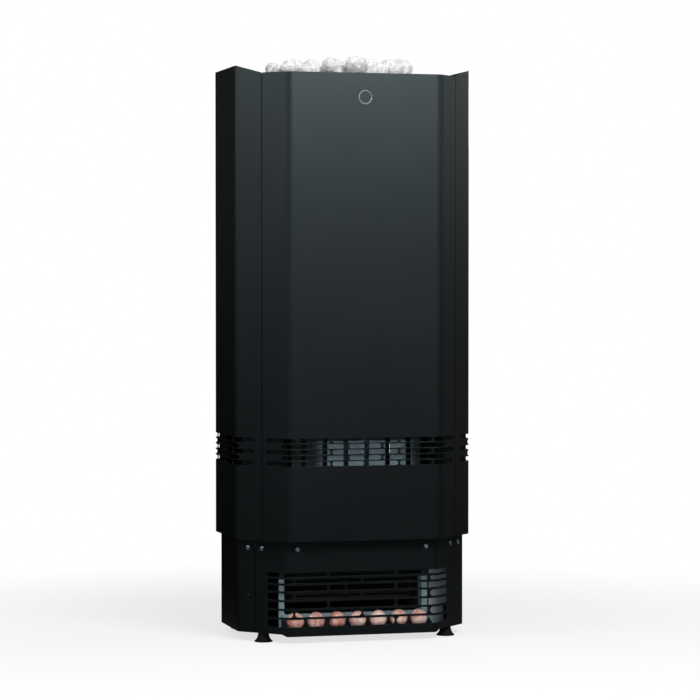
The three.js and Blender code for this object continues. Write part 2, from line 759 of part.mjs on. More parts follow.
function stoneGrate() {
  const outline = roundedRectangle(
    CHAMBER_WIDTH - 2 * (PLATE + FIT),
    CHAMBER_DEPTH - 2 * (PLATE + FIT),
    CHAMBER_RADIUS - PLATE - FIT,
  );
  const bands = ELEMENTS - 1;
  for (let i = 0; i < bands; i++) {
    const between = (elementY(i) + elementY(i + 1)) / 2;
    for (const side of [-1, 1]) {
      const level = between + (side * GRATE_SLOT_PITCH) / 2;
      outline.holes.push(slotPath(0, GRATE_SLOT, GRATE_SLOT_LENGTH, level, GRATE_FACETS));
    }
  }
  return cutBy(solid(prismZ(outline, grateBottom, grateTop)), elementHoles());
}

addPart("chamber_skirt", chamberSkirt(), galvanised);
addPart("stone_chamber", stoneChamber(), chamberSteel);
addPart("stone_grate", stoneGrate(), chamberSteel);

// Heating elements and the plate that holds their cold ends

class BentTube extends THREE.Curve {
  constructor(points) {
    super();
    this.points = points;
  }
  getPoint(t, target = new THREE.Vector3()) {
    const place = t * (this.points.length - 1);
    const index = Math.min(Math.floor(place), this.points.length - 2);
    return target.lerpVectors(this.points[index], this.points[index + 1], place - index);
  }
  getPointAt(t, target) {
    return this.getPoint(t, target);
  }
  getTangentAt(t, target = new THREE.Vector3()) {
    const index = Math.round(t * (this.points.length - 1));
    const after = this.points[Math.min(index + 1, this.points.length - 1)];
    const before = this.points[Math.max(index - 1, 0)];
    return target.subVectors(after, before).normalize();
  }
}

function heatingElement() {
  const bend = ELEMENT_LEG_PITCH / 2;
  const route = [new THREE.Vector3(legX(0), 0, carrierTop - SHEET - ELEMENT_TAIL)];
  for (let leg = 0; leg < ELEMENT_LEGS - 1; leg++) {
    const rising = leg % 2 === 0;
    const level = rising ? ELEMENT_TOP - bend : ELEMENT_LOW_BEND + bend;
    for (let k = 0; k <= ELEMENT_BEND_STEPS; k++) {
      const angle = Math.PI * (1 - k / ELEMENT_BEND_STEPS);
      const rise = bend * Math.sin(angle) * (rising ? 1 : -1);
      route.push(new THREE.Vector3(legX(leg) + bend + bend * Math.cos(angle), 0, level + rise));
    }
  }
  route.push(new THREE.Vector3(legX(ELEMENT_LEGS - 1), 0, carrierTop - SHEET - ELEMENT_TAIL));
  const section = polygon(circlePoints(0, 0, ELEMENT_RADIUS, ELEMENT_SIDES));
  return new THREE.ExtrudeGeometry(section, {
    steps: route.length - 1,
    extrudePath: new BentTube(route),
  });
}

for (let i = 0; i < ELEMENTS; i++)
  addPart("heating_element_" + (i + 1), heatingElement(), elementSteel, { y: elementY(i) });

function elementCarrier() {
  const halfX = elementSpan / 2 + CARRIER_MARGIN;
  const halfY = CHAMBER_DEPTH / 2 - SHEET - FIT;
  const plate = solid(block([-halfX, -halfY, carrierTop - SHEET], [halfX, halfY, carrierTop]));
  const windows = [];
  for (let i = 0; i < ELEMENTS - 1; i++) {
    const low = elementY(i) + CARRIER_MARGIN;
    const high = elementY(i + 1) - CARRIER_MARGIN;
    const reach = elementSpan / 2;
    windows.push(solid(block([-reach, low, carrierTop - PLATE], [reach, high, carrierTop + PLATE])));
  }
  return cutBy(plate, [...windows, ...elementHoles()]);
}

addPart("element_carrier", elementCarrier(), galvanised);

// Stones

// Steady pseudo-random numbers between 0 and 1
function sequence(seed) {
  let state = seed;
  return () => {
    state = (state * 16807) % 2147483647;
    return state / 2147483647;
  };
}

const between = (random, [low, high]) => low + (high - low) * random();

// A rounded stone: a ball whose points are pushed in and out, flattened and turned
function stoneShape(random, length) {
  const stone = mergeVertices(
    new THREE.IcosahedronGeometry(length / 2, 1).deleteAttribute("normal").deleteAttribute("uv"),
  );
  const points = stone.attributes.position;
  for (let i = 0; i < points.count; i++) {
    const swell = between(random, STONE_SWELL);
    points.setXYZ(i, points.getX(i) * swell, points.getY(i) * swell, points.getZ(i) * swell);
  }
  stone.scale(1, between(random, STONE_BREADTH), between(random, STONE_THICKNESS));
  stone.rotateX(between(random, STONE_TILT)).rotateY(between(random, STONE_TILT));
  return stone.rotateZ(2 * Math.PI * random());
}

const stoneHalf = {
  x: CHAMBER_WIDTH / 2 - PLATE - STONE_CLEARANCE,
  y: CHAMBER_DEPTH / 2 - PLATE - STONE_CLEARANCE,
};

const bedGrid = {
  columns: BED_COLUMNS,
  rows: BED_ROWS,
  edge: BED_EDGE,
  stray: BED_STRAY,
  stagger: 0,
};
const looseGrid = {
  columns: LOOSE_COLUMNS,
  rows: LOOSE_ROWS,
  edge: LOOSE_EDGE,
  stray: LOOSE_STRAY,
  stagger: LOOSE_STAGGER,
};

// A place in a loosely filled grid of stones
function scattered(random, grid, column, row) {
  const farX = stoneHalf.x - grid.edge;
  const farY = stoneHalf.y - grid.edge;
  const stepX = (2 * farX) / (grid.columns - 1 + grid.stagger);
  const stepY = (2 * farY) / (grid.rows - 1);
  const across = column + grid.stagger * (row % 2) + between(random, grid.stray);
  const along = row + between(random, grid.stray);
  const x = THREE.MathUtils.clamp(stepX * across - farX, -farX, farX);
  const y = THREE.MathUtils.clamp(stepY * along - farY, -farY, farY);
  return [x, y];
}

// The load of stones up to the rim: a fill parted round each element, with shaped stones on top
function stoneBed() {
  const low = grateTop + FIT;
  const outline = roundedRectangle(2 * stoneHalf.x, 2 * stoneHalf.y, CHAMBER_RADIUS);
  const fill = solid(prismZ(outline, low, STONE_FILL_TOP));
  const room = ELEMENT_RADIUS + STONE_CLEARANCE;
  const slots = [];
  for (let i = 0; i < ELEMENTS; i++)
    slots.push(
      solid(
        block(
          [-elementSpan / 2 - room, elementY(i) - room, low - OVERCUT],
          [elementSpan / 2 + room, elementY(i) + room, ELEMENT_TOP + room],
        ),
      ),
    );
  const random = sequence(BED_SEED);
  const stones = [];
  for (let row = 0; row < BED_ROWS; row++)
    for (let column = 0; column < BED_COLUMNS; column++) {
      const stone = stoneShape(random, between(random, BED_STONE));
      const [x, y] = scattered(random, bedGrid, column, row);
      const lift = between(random, BED_LIFT) + BED_CROWN * (1 - (x / stoneHalf.x) ** 2);
      stones.push(solid(stone.translate(x, y, STONE_FILL_TOP + lift)));
    }
  const walls = solid(prismZ(outline, low, STONE_FILL_TOP + BED_STONE[1]));
  return cutBy(joined([fill, ...stones]).intersect(walls), slots);
}

// Lowers a stone on to the heap until it just clears what lies below
function settled(stone, heap) {
  let free = STONE_FILL_TOP + BED_STONE[1] + 2 * LOOSE_STONE[1];
  let blocked = STONE_FILL_TOP;
  for (let step = 0; step < STONE_DROP_STEPS; step++) {
    const level = (free + blocked) / 2;
    const body = solid(stone.clone().translate(0, 0, level));
    if (heap.every((other) => other.intersect(body).isEmpty())) free = level;
    else blocked = level;
  }
  return stone.clone().translate(0, 0, free + FIT);
}

const bed = stoneBed();
addPart("stone_bed", bed, paleStone);
const heap = [bed];
const looseRandom = sequence(LOOSE_SEED);
for (let row = 0; row < LOOSE_ROWS; row++)
  for (let column = 0; column < LOOSE_COLUMNS; column++) {
    const shape = stoneShape(looseRandom, between(looseRandom, LOOSE_STONE));
    const [x, y] = scattered(looseRandom, looseGrid, column, row);
    const stone = settled(shape.translate(x, y, 0), heap);
    heap.push(solid(stone));
    addPart("stone_" + (row * LOOSE_COLUMNS + column + 1), stone, paleStone);
  }

// Air duct with its window frame, standing on the floor plate. On the motor's side the frame goes on
// as a slanted screen.

function outletDuct() {
  const half = DUCT_WIDTH / 2;
  const edge = half + DUCT_FRAME;
  const low = floorTop + FIT;
  const high = deckBottom - FIT;
  const back = fanAxis.y + FAN_RADIUS + FAN_GAP + SHEET + FIT;
  const frameTop = DUCT_HEAD + DUCT_FRAME;
  const frame = solid(
    block(
      [-edge, ductFront, low],
      [edge, ductFront + SHEET, frameTop],
    ),
  );
  const opening = solid(
    block([-half, ductFront - OVERCUT, DUCT_SILL], [half, ductFront + PLATE, DUCT_HEAD]),
  );
  const walls = [-1, 1].map((side) => {
    const edges = [side * half, side * (half + SHEET)].sort((a, b) => a - b);
    return solid(block([edges[0], ductFront, low], [edges[1], back, high]));
  });
  const head = solid(
    block(
      [-half, ductFront, DUCT_HEAD],
      [half, ductFront + DUCT_HEAD_DEPTH, DUCT_HEAD + SHEET],
    ),
  );
  const reach = MOTOR_SCREEN / Math.SQRT2;
  const skin = SHEET * Math.SQRT2;
  const screen = polygon([
    [edge - skin, ductFront],
    [edge, ductFront],
    [edge + reach, ductFront + reach],
    [edge + reach - skin, ductFront + reach],
  ]);
  const sheets = [frame.subtract(opening), ...walls, head, solid(prismZ(screen, low, frameTop))];
  const shaftHole = solid(rodX(SHAFT_HOLE_RADIUS, -edge, edge, fanAxis.y, fanAxis.z));
  return joined(sheets).subtract(shaftHole);
}

// Curved guide sheet under and behind the impeller
function fanScroll() {
  const inner = FAN_RADIUS + FAN_GAP;
  const outer = inner + SHEET;
  const lip = ductFront + SHEET + FIT;
  const down = -Math.PI / 2;
  const section = polygon([
    [lip, fanAxis.z - outer],
    ...arcPoints(fanAxis.y, fanAxis.z, outer, down, 0, SCROLL_FACETS),
    [fanAxis.y + outer, SCROLL_TOP],
    [fanAxis.y + inner, SCROLL_TOP],
    ...arcPoints(fanAxis.y, fanAxis.z, inner, 0, down, SCROLL_FACETS),
    [lip, fanAxis.z - inner],
  ]);
  const reach = DUCT_WIDTH / 2 - FIT;
  return prismX(section, -reach, reach);
}

// Cross-flow impeller: discs, raked blades between them, and a shaft through both duct walls
function fanImpeller() {
  const reach = DUCT_WIDTH / 2 - FAN_END_GAP;
  const bodies = [];
  for (let i = 0; i <= FAN_CELLS; i++) {
    const start = -reach + ((2 * reach - FAN_DISC) * i) / FAN_CELLS;
    bodies.push(solid(rodX(FAN_RADIUS, start, start + FAN_DISC, 0, 0)));
  }
  const rootRadius = FAN_RADIUS - FAN_BLADE_DEPTH;
  const rim = FAN_RADIUS - FAN_BLADE_THICKNESS;
  const blade = polygon([
    [rootRadius, 0],
    [rim, FAN_BLADE_RAKE],
    [rim, FAN_BLADE_RAKE + FAN_BLADE_THICKNESS],
    [rootRadius, FAN_BLADE_THICKNESS],
  ]);
  for (let i = 0; i < FAN_BLADES; i++) {
    const drawn = prismZ(blade, 0, 2 * reach - FAN_DISC);
    drawn.rotateZ((2 * Math.PI * i) / FAN_BLADES).rotateY(Math.PI / 2);
    bodies.push(solid(drawn.translate(-reach + FAN_DISC / 2, 0, 0)));
  }
  const bearingEnd = -DUCT_WIDTH / 2 - SHEET - FIT - BUSH_FLANGE;
  bodies.push(solid(rodX(SHAFT_RADIUS, bearingEnd, FAN_DISC - reach, 0, 0)));
  bodies.push(solid(rodX(SHAFT_RADIUS, reach - FAN_DISC, motorFace + SHAFT_IN_MOTOR - FIT, 0, 0)));
  return joined(bodies);
}

function fanMotor() {
  const flange = solid(rodX(MOTOR_FLANGE_RADIUS, motorFace, motorFace + MOTOR_FLANGE, 0, 0));
  const can = solid(rodX(MOTOR_RADIUS, motorFace, motorFace + MOTOR_LENGTH, 0, 0));
  const bore = solid(rodX(SHAFT_RADIUS + FIT, motorFace - OVERCUT, motorFace + SHAFT_IN_MOTOR, 0, 0));
  return flange.add(can).subtract(bore);
}

function fanBush() {
  const wall = -DUCT_WIDTH / 2 - SHEET;
  const flange = solid(rodX(BUSH_FLANGE_RADIUS, wall - FIT - BUSH_FLANGE, wall - FIT, 0, 0));
  const barrel = solid(rodX(SHAFT_HOLE_RADIUS - FIT, wall - BUSH_FLANGE, wall + SHEET, 0, 0));
  const bore = solid(rodX(SHAFT_RADIUS + FIT, wall - 2 * BUSH_FLANGE, wall + DUCT_WIDTH / 2, 0, 0));
  return flange.add(barrel).subtract(bore);
}

addPart("outlet_duct", outletDuct(), galvanised);
addPart("fan_scroll", fanScroll(), galvanised);
addPart("fan_impeller", fanImpeller(), blackPlastic, fanAxis);
addPart("fan_motor", fanMotor(), chamberSteel, fanAxis);
addPart("fan_bush", fanBush(), blackPlastic, fanAxis);

// Salt tray between the grille and the duct, with its row of salt balls

const trayFront = -basePlan.halfDepth + SHEET + TRAY_SETBACK;
const trayRear = ductFront - FIT;
const trayFloor = floorTop + FIT;

function saltTray() {
  const inside = ((BALLS - 1) / 2) * BALL_PITCH + BALL_RADIUS + BALL_END_GAP;
  const outer = polygon([
    [trayFront, trayFloor],
    [trayRear, trayFloor],
    [trayRear, DUCT_SILL],
    [trayRear - SHEET, DUCT_SILL],
    [trayFront, trayFloor + TRAY_FRONT_HEIGHT],
  ]);
  const hollow = block(
    [-inside, trayFront + SHEET, trayFloor + SHEET],
    [inside, trayRear - SHEET, DUCT_SILL + OVERCUT],
  );
  return solid(prismX(outer, -inside - SHEET, inside + SHEET)).subtract(solid(hollow));
}

addPart("salt_tray", saltTray(), galvanised);
const saltBall = new THREE.SphereGeometry(BALL_RADIUS, BALL_FACETS, BALL_RINGS).rotateX(Math.PI / 2);
for (let i = 0; i < BALLS; i++)
  addPart("salt_ball_" + (i + 1), saltBall, saltPink, {
    x: (i - (BALLS - 1) / 2) * BALL_PITCH,
    y: (trayFront + trayRear) / 2,
    z: trayFloor + SHEET + FIT + BALL_RADIUS,
  });

// Terminal box, its lid, its terminal block and the cable gland in the rear panel

const terminalBack = basePlan.halfDepth - SHEET - TERMINAL_SETBACK;
const terminalLow = floorTop + FIT;
const terminalTop = terminalLow + TERMINAL_HEIGHT;

function terminalBox() {
  const half = TERMINAL_WIDTH / 2;
  const front = terminalBack - TERMINAL_DEPTH;
  const outer = block([-half, front, terminalLow], [half, terminalBack, terminalTop]);
  const inner = block(
    [-half + SHEET, front + SHEET, terminalLow + SHEET],
    [half - SHEET, terminalBack - SHEET, terminalTop + OVERCUT],
  );
  return solid(outer).subtract(solid(inner));
}

function terminalLid() {
  const grow = FIT + SHEET;
  const half = TERMINAL_WIDTH / 2 + grow;
  const front = terminalBack - TERMINAL_DEPTH - grow;
  const back = terminalBack + grow;
  const under = terminalTop + FIT;
  const outer = block([-half, front, under - LID_LIP], [half, back, under + SHEET]);
  const inner = block(
    [-half + SHEET, front + SHEET, under - LID_LIP - OVERCUT],
    [half - SHEET, back - SHEET, under],
  );
  return solid(outer).subtract(solid(inner));
}

function terminalBlock() {
  const half = (TERMINAL_POLES * POLE_PITCH) / 2;
  const middle = terminalBack - TERMINAL_DEPTH / 2;
  const low = terminalLow + SHEET + FIT;
  const high = low + BLOCK_HEIGHT;
  const body = block([-half, middle - BLOCK_DEPTH / 2, low], [half, middle + BLOCK_DEPTH / 2, high]);
  const slots = [];
  for (let i = 0; i < TERMINAL_POLES; i++) {
    const x = (i - (TERMINAL_POLES - 1) / 2) * POLE_PITCH;
    slots.push(
      block(
        [x - POLE_SLOT / 2, middle - BLOCK_DEPTH, high - POLE_SLOT_DEPTH],
        [x + POLE_SLOT / 2, middle + BLOCK_DEPTH, high + OVERCUT],
      ),
    );
  }
  return cutBy(solid(body), slots.map(solid));
}

function cableGland() {
  const face = basePlan.halfDepth;
  const nut = solid(rodY(GLAND_RADIUS, face + FIT, face + GLAND_OUT, GLAND_X, GLAND_Z, 6));
  const thread = solid(rodY(GLAND_THREAD, face - GLAND_IN, face + GLAND_OUT / 2, GLAND_X, GLAND_Z));
  const past = GLAND_OUT + OVERCUT;
  const bore = solid(rodY(GLAND_BORE, face - past, face + past, GLAND_X, GLAND_Z));
  return nut.add(thread).subtract(bore);
}

addPart("terminal_box", terminalBox(), galvanised);
addPart("terminal_lid", terminalLid(), galvanised);
addPart("terminal_block", terminalBlock(), ceramic);
addPart("cable_gland", cableGland(), blackPlastic);

export default heater;
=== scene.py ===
import json
import math

import bmesh
import bpy
from bpy.props import FloatProperty, FloatVectorProperty, IntProperty, PointerProperty
from bpy.types import Operator, Panel, PropertyGroup
from mathutils import Matrix, Vector, noise
from mathutils.bvhtree import BVHTree


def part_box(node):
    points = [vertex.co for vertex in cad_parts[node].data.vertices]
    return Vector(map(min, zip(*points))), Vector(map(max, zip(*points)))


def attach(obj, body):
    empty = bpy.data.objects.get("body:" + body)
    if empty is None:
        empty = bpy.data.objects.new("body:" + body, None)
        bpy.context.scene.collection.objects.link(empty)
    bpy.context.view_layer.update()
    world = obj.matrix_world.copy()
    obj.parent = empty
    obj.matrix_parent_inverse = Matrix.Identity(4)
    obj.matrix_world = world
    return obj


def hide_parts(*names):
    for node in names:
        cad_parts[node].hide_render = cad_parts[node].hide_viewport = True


bl_info = {
    "name": "Sauna heater looks",
    "version": (1, 0, 0),
    "blender": (4, 5, 0),
    "location": "3D View > Sidebar > Heater",
    "description": "Coated panels, steel, stones, salt and stage for the packed sauna heater",
    "category": "Object",
}

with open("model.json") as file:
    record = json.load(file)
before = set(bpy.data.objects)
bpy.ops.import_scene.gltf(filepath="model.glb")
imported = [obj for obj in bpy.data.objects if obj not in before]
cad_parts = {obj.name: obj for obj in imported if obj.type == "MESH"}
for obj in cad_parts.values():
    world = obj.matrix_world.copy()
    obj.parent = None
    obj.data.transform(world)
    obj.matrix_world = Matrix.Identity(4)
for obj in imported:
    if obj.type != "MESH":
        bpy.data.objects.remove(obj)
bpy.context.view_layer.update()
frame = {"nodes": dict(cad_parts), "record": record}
NODES = frame["nodes"]
BODY = "heater"


# Sizes and colours


def length(name, description, default):
    return FloatProperty(name=name, description=description, default=default, unit="LENGTH", precision=4)


def colour(name, description, default):
    return FloatVectorProperty(
        name=name, description=description, default=default, subtype="COLOR", size=4, min=0, max=1
    )


class SheetSizes(PropertyGroup):
    """Folded and slotted sheet of the casing and the base"""

    thickness: length("Thickness", "Sheet of the panels", 0.0015)
    edge: length("Edge", "Rounding of a cut edge under its coat", 0.0002)
    seam: length("Seam", "Open joint between two panels", 0.0016)
    casing_corner: length("Casing corner", "How far a slanted corner cuts into a casing wall", 0.088)
    casing_radius: length("Casing fold", "Outside radius of a casing fold", 0.025)
    base_corner: length("Base corner", "How far a slanted corner cuts into a base wall", 0.082)
    base_shift: length("Base seam", "Base seams from the middles of the corners towards the sides", 0.017)
    base_radius: length("Base fold", "Outside radius of a base fold", 0.020)
    side_rise: length("Side rise", "Side panels above the front panel", 0.016)
    vent_bottom: length("Vent bottom", "Lowest edge of the air slots", 0.3545)
    vent_row: length("Vent row pitch", "Rise from one row of air slots to the next", 0.0115)
    vent_height: length("Vent height", "Height of an air slot", 0.009)
    vent_pitch: length("Vent pitch", "From slot to slot in a row", 0.070)
    vent_web: length("Vent web", "Sheet between two slots of a row", 0.004)
    vent_edge: length("Vent edge", "Least sheet between a slot and a seam", 0.009)
    grille_bottom: length("Grille bottom", "Lowest edge of the outlet slots", 0.033)
    grille_bar: length("Grille bar", "Sheet between two rows of outlet slots", 0.0045)
    grille_web: length("Grille web", "Sheet between two outlet slots of a row", 0.004)
    grille_pitch: length("Grille pitch", "Between the webs of a row", 0.140)
    grille_edge: length("Grille edge", "From the ends of the rows to the seams", 0.028)
    lip_drop: length("Lip drop", "Base front below its flanges", 0.0045)
    lip_bevel: length("Lip bevel", "Slanted end of the lip", 0.011)
    vent_rows: IntProperty(name="Vent rows", description="Rows of air slots", default=5, min=1)
    fold_facets: IntProperty(name="Fold facets", description="Facets of a fold", default=8, min=2)
    slot_facets: IntProperty(name="Slot facets", description="Facets of a slot end", default=8, min=3)


class DetailSizes(PropertyGroup):
    """Screws, feet, stones and salt"""

    screw_radius: length("Screw head", "Radius of a screw head", 0.0048)
    screw_height: length("Screw height", "Height of a screw head", 0.0026)
    screw_level: length("Screw level", "Height of the base screws", 0.188)
    screw_across: length("Front screws", "Front and rear screws from the middle", 0.133)
    screw_from_seam: length("Corner screws", "Corner screws from the seam", 0.016)
    rivet_radius: length("Rivet head", "Radius of a rivet head", 0.0032)
    rivet_level: length("Rivet level", "Height of the corner rivets", 0.092)
    thread_pitch: length("Thread pitch", "Pitch of the foot's thread", 0.0015)
    stone_relief: length("Stone relief", "Depth of the stones' dents", 0.0032)
    chip_length: length("Chip length", "Small stones between the loose ones", 0.040)
    bed_pitch: length("Bed pitch", "Spacing of the stones in the bed", 0.047)
    salt_relief: length("Salt relief", "Depth of the dents in a salt ball", 0.0006)


class HeaterColours(PropertyGroup):
    """Colours of the finishes, in linear light"""

    coat: colour("Coat", "Powder coat", (0.0015, 0.0020, 0.0023, 1))
    coat_pale: colour("Coat, pale", "Palest cloud of the powder coat", (0.0021, 0.0027, 0.0031, 1))
    sheen: colour("Sheen", "Gloss of the powder coat", (0.76, 0.95, 1.0, 1))
    zinc: colour("Zinc", "Galvanised sheet, dark flake", (0.24, 0.36, 0.41, 1))
    zinc_pale: colour("Zinc, pale", "Galvanised sheet, pale flake", (0.43, 0.58, 0.65, 1))
    # Painted light: a paler tone for the duct's sheet beside its window, where it screens the motor
    painted_light: colour("Primer", "Primed sheet beside the duct", (0.46, 0.57, 0.64, 1))
    # Painted shade: the dark tone of the skirt, duct, tray and floor sheets where their masks put shade, and of the
    # duct above its frame head
    painted_shade: colour("Smoke", "Heat-dulled zinc", (0.030, 0.034, 0.036, 1))
    steel: colour("Steel", "Heat-darkened steel", (0.20, 0.19, 0.18, 1))
    steel_pale: colour("Steel, pale", "Heat-darkened steel, pale patch", (0.36, 0.34, 0.32, 1))
    screw: colour("Screw", "Plated screw", (0.66, 0.70, 0.73, 1))
    badge: colour("Badge", "Rim of the badge", (0.17, 0.19, 0.20, 1))
    rubber: colour("Rubber", "Feet", (0.0036, 0.0036, 0.0038, 1))
    plastic: colour("Plastic", "Fan and gland", (0.014, 0.014, 0.015, 1))
    ceramic: colour("Ceramic", "Terminal block", (0.70, 0.66, 0.58, 1))
    stone: colour("Stone", "Stones", (0.93, 0.925, 0.92, 1))
    stone_dark: colour("Stone, dark", "Stones, dark patch", (0.80, 0.795, 0.79, 1))
    stone_pit: colour("Stone, pit", "Pits in the stones", (0.42, 0.415, 0.41, 1))
    stone_rust: colour("Stone, rust", "Stones, rusty patch", (0.42, 0.27, 0.22, 1))
    salt: colour("Salt", "Salt balls", (0.50, 0.15, 0.105, 1))
    salt_pale: colour("Salt, pale", "Salt balls, pale patch", (0.80, 0.55, 0.48, 1))
    salt_white: colour("Salt, white", "Salt balls, white vein", (0.92, 0.85, 0.81, 1))
    floor: colour("Floor", "Studio floor", (0.86, 0.86, 0.86, 1))


class StageSizes(PropertyGroup):
    """Camera and lamps"""

    lens: FloatProperty(name="Lens", description="Focal length", default=138.2, unit="CAMERA")
    eye: FloatVectorProperty(
        name="Eye", description="Place of the camera", default=(-1.4239, -5.3288, 0.7204), subtype="TRANSLATION"
    )
    heading: FloatProperty(
        name="Heading", description="Camera turned about the vertical", default=math.radians(-15.14), subtype="ANGLE"
    )
    dip: FloatProperty(name="Dip", description="Camera tipped down", default=math.radians(1.46), subtype="ANGLE")
    key_power: FloatProperty(name="Key", description="Lamp above the front", default=57, unit="POWER")
    side_power: FloatProperty(name="Sides", description="Lamps above both sides", default=17, unit="POWER")
    top_power: FloatProperty(name="Top", description="Lamp over the stones", default=7, unit="POWER")
    back_power: FloatProperty(name="Back", description="Lamp above the rear", default=40, unit="POWER")
    low_power: FloatProperty(name="Low", description="Lamp before the outlet grille", default=12, unit="POWER")
    sky: FloatProperty(name="Sky", description="Even light from all round", default=0.20, min=0)


# Shader arithmetic


class Wire:
    """A shader socket that takes part in arithmetic"""

    def __init__(self, tree, socket):
        self.tree = tree
        self.socket = socket

    def _math(self, operation, *terms):
        return self.tree.node("ShaderNodeMath", {"operation": operation}, dict(enumerate(terms)))

    def __add__(self, other):
        return self._math("ADD", self, other)

    def __sub__(self, other):
        return self._math("SUBTRACT", self, other)

    def __rsub__(self, other):
        return self._math("SUBTRACT", other, self)

    def __mul__(self, other):
        return self._math("MULTIPLY", self, other)

    def __truediv__(self, other):
        return self._math("DIVIDE", self, other)

    def __pow__(self, other):
        return self._math("POWER", self, other)

    def __or__(self, other):
        return self._math("MAXIMUM", self, other)

    __radd__ = __add__
    __rmul__ = __mul__


class NodeTree:
    """A node tree that is filled by calls"""

    def __init__(self, tree):
        self.tree = tree
        self.tree.nodes.clear()

    def node(self, kind, settings=None, inputs=None, output=0):
        made = self.tree.nodes.new(kind)
        for key, value in (settings or {}).items():
            if key == "stops":
                ramp = made.color_ramp.elements
                while len(ramp) < len(value):
                    ramp.new(1)
                for element, (place, shade) in zip(ramp, value):
                    element.position = place
                    element.color = shade
            else:
                setattr(made, key, value)
        for key, value in (inputs or {}).items():
            socket = made.inputs[key]
            if isinstance(value, Wire):
                self.tree.links.new(value.socket, socket)
            else:
                socket.default_value = value
        return Wire(self, made.outputs[output]) if len(made.outputs) else made

    def mix(self, share, first, second):
        return self.node("ShaderNodeMix", {"data_type": "RGBA"}, {0: share, 6: first, 7: second}, 2)

    def ramp(self, value, *stops):
        grey = [(place, (level, level, level, 1)) for place, level in stops]
        return self.node("ShaderNodeValToRGB", {"stops": grey}, {0: value})

    def step(self, value, start, end):
        return self.node("ShaderNodeMapRange", {}, {0: value, 1: start, 2: end})

    def seen(self):
        """1 for rays that show the background: from the camera, off gloss and through glass"""
        path = {
            name: self.node("ShaderNodeLightPath", output=name)
            for name in ("Is Camera Ray", "Is Glossy Ray", "Is Transmission Ray")
        }
        return path["Is Camera Ray"] | path["Is Glossy Ray"] | path["Is Transmission Ray"]


class Finish(NodeTree):
    """A material whose colour, roughness and relief vary over the surface"""

    def __init__(self, name, **constants):
        self.material = bpy.data.materials.new(name)
        self.material.use_nodes = True
        super().__init__(self.material.node_tree)
        self.place = self.node("ShaderNodeTexCoord", output="Object")
        self.constants = constants

    def cloud(self, scale, detail=2.0, stretch=None, roughness=0.5):
        place = self.place
        if stretch:
            place = self.node("ShaderNodeMapping", {}, {"Vector": place, "Scale": stretch})
        settings = {"Vector": place, "Scale": scale, "Detail": detail, "Roughness": roughness}
        return self.node("ShaderNodeTexNoise", {}, settings)

    def cells(self, scale):
        shade = self.node("ShaderNodeTexVoronoi", {}, {"Vector": self.place, "Scale": scale}, "Color")
        return self.node("ShaderNodeSeparateColor", {}, {0: shade})

    def relief(self, height, depth, strength=1.0):
        return self.node("ShaderNodeBump", {}, {"Height": height, "Distance": depth, "Strength": strength})

    def done(self, **varying):
        inputs = {name.replace("_", " "): value for name, value in {**self.constants, **varying}.items()}
        surface = self.node("ShaderNodeBsdfPrincipled", {}, inputs)
        self.node("ShaderNodeOutputMaterial", {}, {"Surface": surface})
        return self.material


# Finishes


def powder_coat(tones):
    finish = Finish("powder_coat", Specular_IOR_Level=0.5, Specular_Tint=tones.sheen)
    cloud = finish.cloud(5, 3)
    peel = finish.cloud(620, 1)
    grain = finish.cloud(2400, 1)
    return finish.done(
        Base_Color=finish.mix(cloud, tones.coat, tones.coat_pale),
        Roughness=0.30 + 0.06 * cloud + 0.04 * grain,
        Normal=finish.relief(peel + 0.5 * grain, 0.00012, 0.5),
    )


def zinc_sheet(name, tones, shade_mask=None, painted_light=None):
    """Galvanised sheet, darkened to painted shade where its shade mask says, and made paler and less metallic as
    painted light where its second mask says
    """
    finish = Finish(name, Metallic=0.5)
    flake = finish.cells(140)
    stain = finish.cloud(28, 4)
    shade = finish.mix(0.65 * flake + 0.35 * stain, tones.zinc, tones.zinc_pale)
    if shade_mask:
        axes = [finish.node("ShaderNodeSeparateXYZ", {}, {0: finish.place}, axis) for axis in "XYZ"]
        shade = finish.mix(shade_mask(finish, stain, *axes), shade, tones.painted_shade)
    if painted_light:
        # Painted light: paler and less metallic sheet where the second mask says
        outside_painted_light = 1 - painted_light(finish, axes[0])
        shade = finish.mix(outside_painted_light, tones.painted_light, shade)
        finish.constants["Metallic"] = 0.5 * outside_painted_light
    return finish.done(
        Base_Color=shade,
        Roughness=0.42 + 0.16 * flake + 0.10 * stain,
        Normal=finish.relief(flake + 0.6 * finish.cloud(900, 2), 0.00006, 0.4),
    )


def skirt_painted_shade(finish, stain, x, y, z):
    """Painted shade that darkens the skirt towards its corners and at its top"""
    off = finish.node("ShaderNodeMath", {"operation": "ABSOLUTE"}, {0: x - 0.02})
    return finish.step(off + 0.025 * stain, 0.085, 0.12) | finish.step(z + 0.004 * stain, 0.3985, 0.403)


def duct_painted_shade(finish, stain, x, y, z):
    """Painted shade inside the duct from 25 mm behind its window frame, and a painted shadow in a strip along the
    fold of the motor's screen; the duct is also dark above the window frame's head
    """
    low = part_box("outlet_duct")[0]
    screen = finish.step(x + low.x, 0, 0.0005)
    # Painted shadow: a dark strip along the fold of the motor's screen
    fold = screen - finish.step(x + low.x, 0.005, 0.0055)
    # Painted shade: dark from 25 mm behind the window frame
    behind = finish.step(y - low.y, 0.024, 0.026)
    return (behind - screen) | fold | finish.step(z, 0.1235, 0.1245)


def screen_painted_light(finish, x):
    """Painted light: the duct's sheet past its window, where it screens the motor, is paler and less metallic so
    that it reads lit
    """
    return finish.step(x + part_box("outlet_duct")[0].x, 0.005, 0.0055)


def tray_painted_shade(finish, stain, x, y, z):
    """Painted shade on the tray up to the sill of the window"""
    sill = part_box("salt_tray")[1].z
    return 1 - finish.step(z - sill, -0.0095, -0.009)


def floor_painted_shade(finish, stain, x, y, z):
    # Painted shade over the deck and the base floor, varied a little by the stain
    return 0.85 + 0.1 * stain


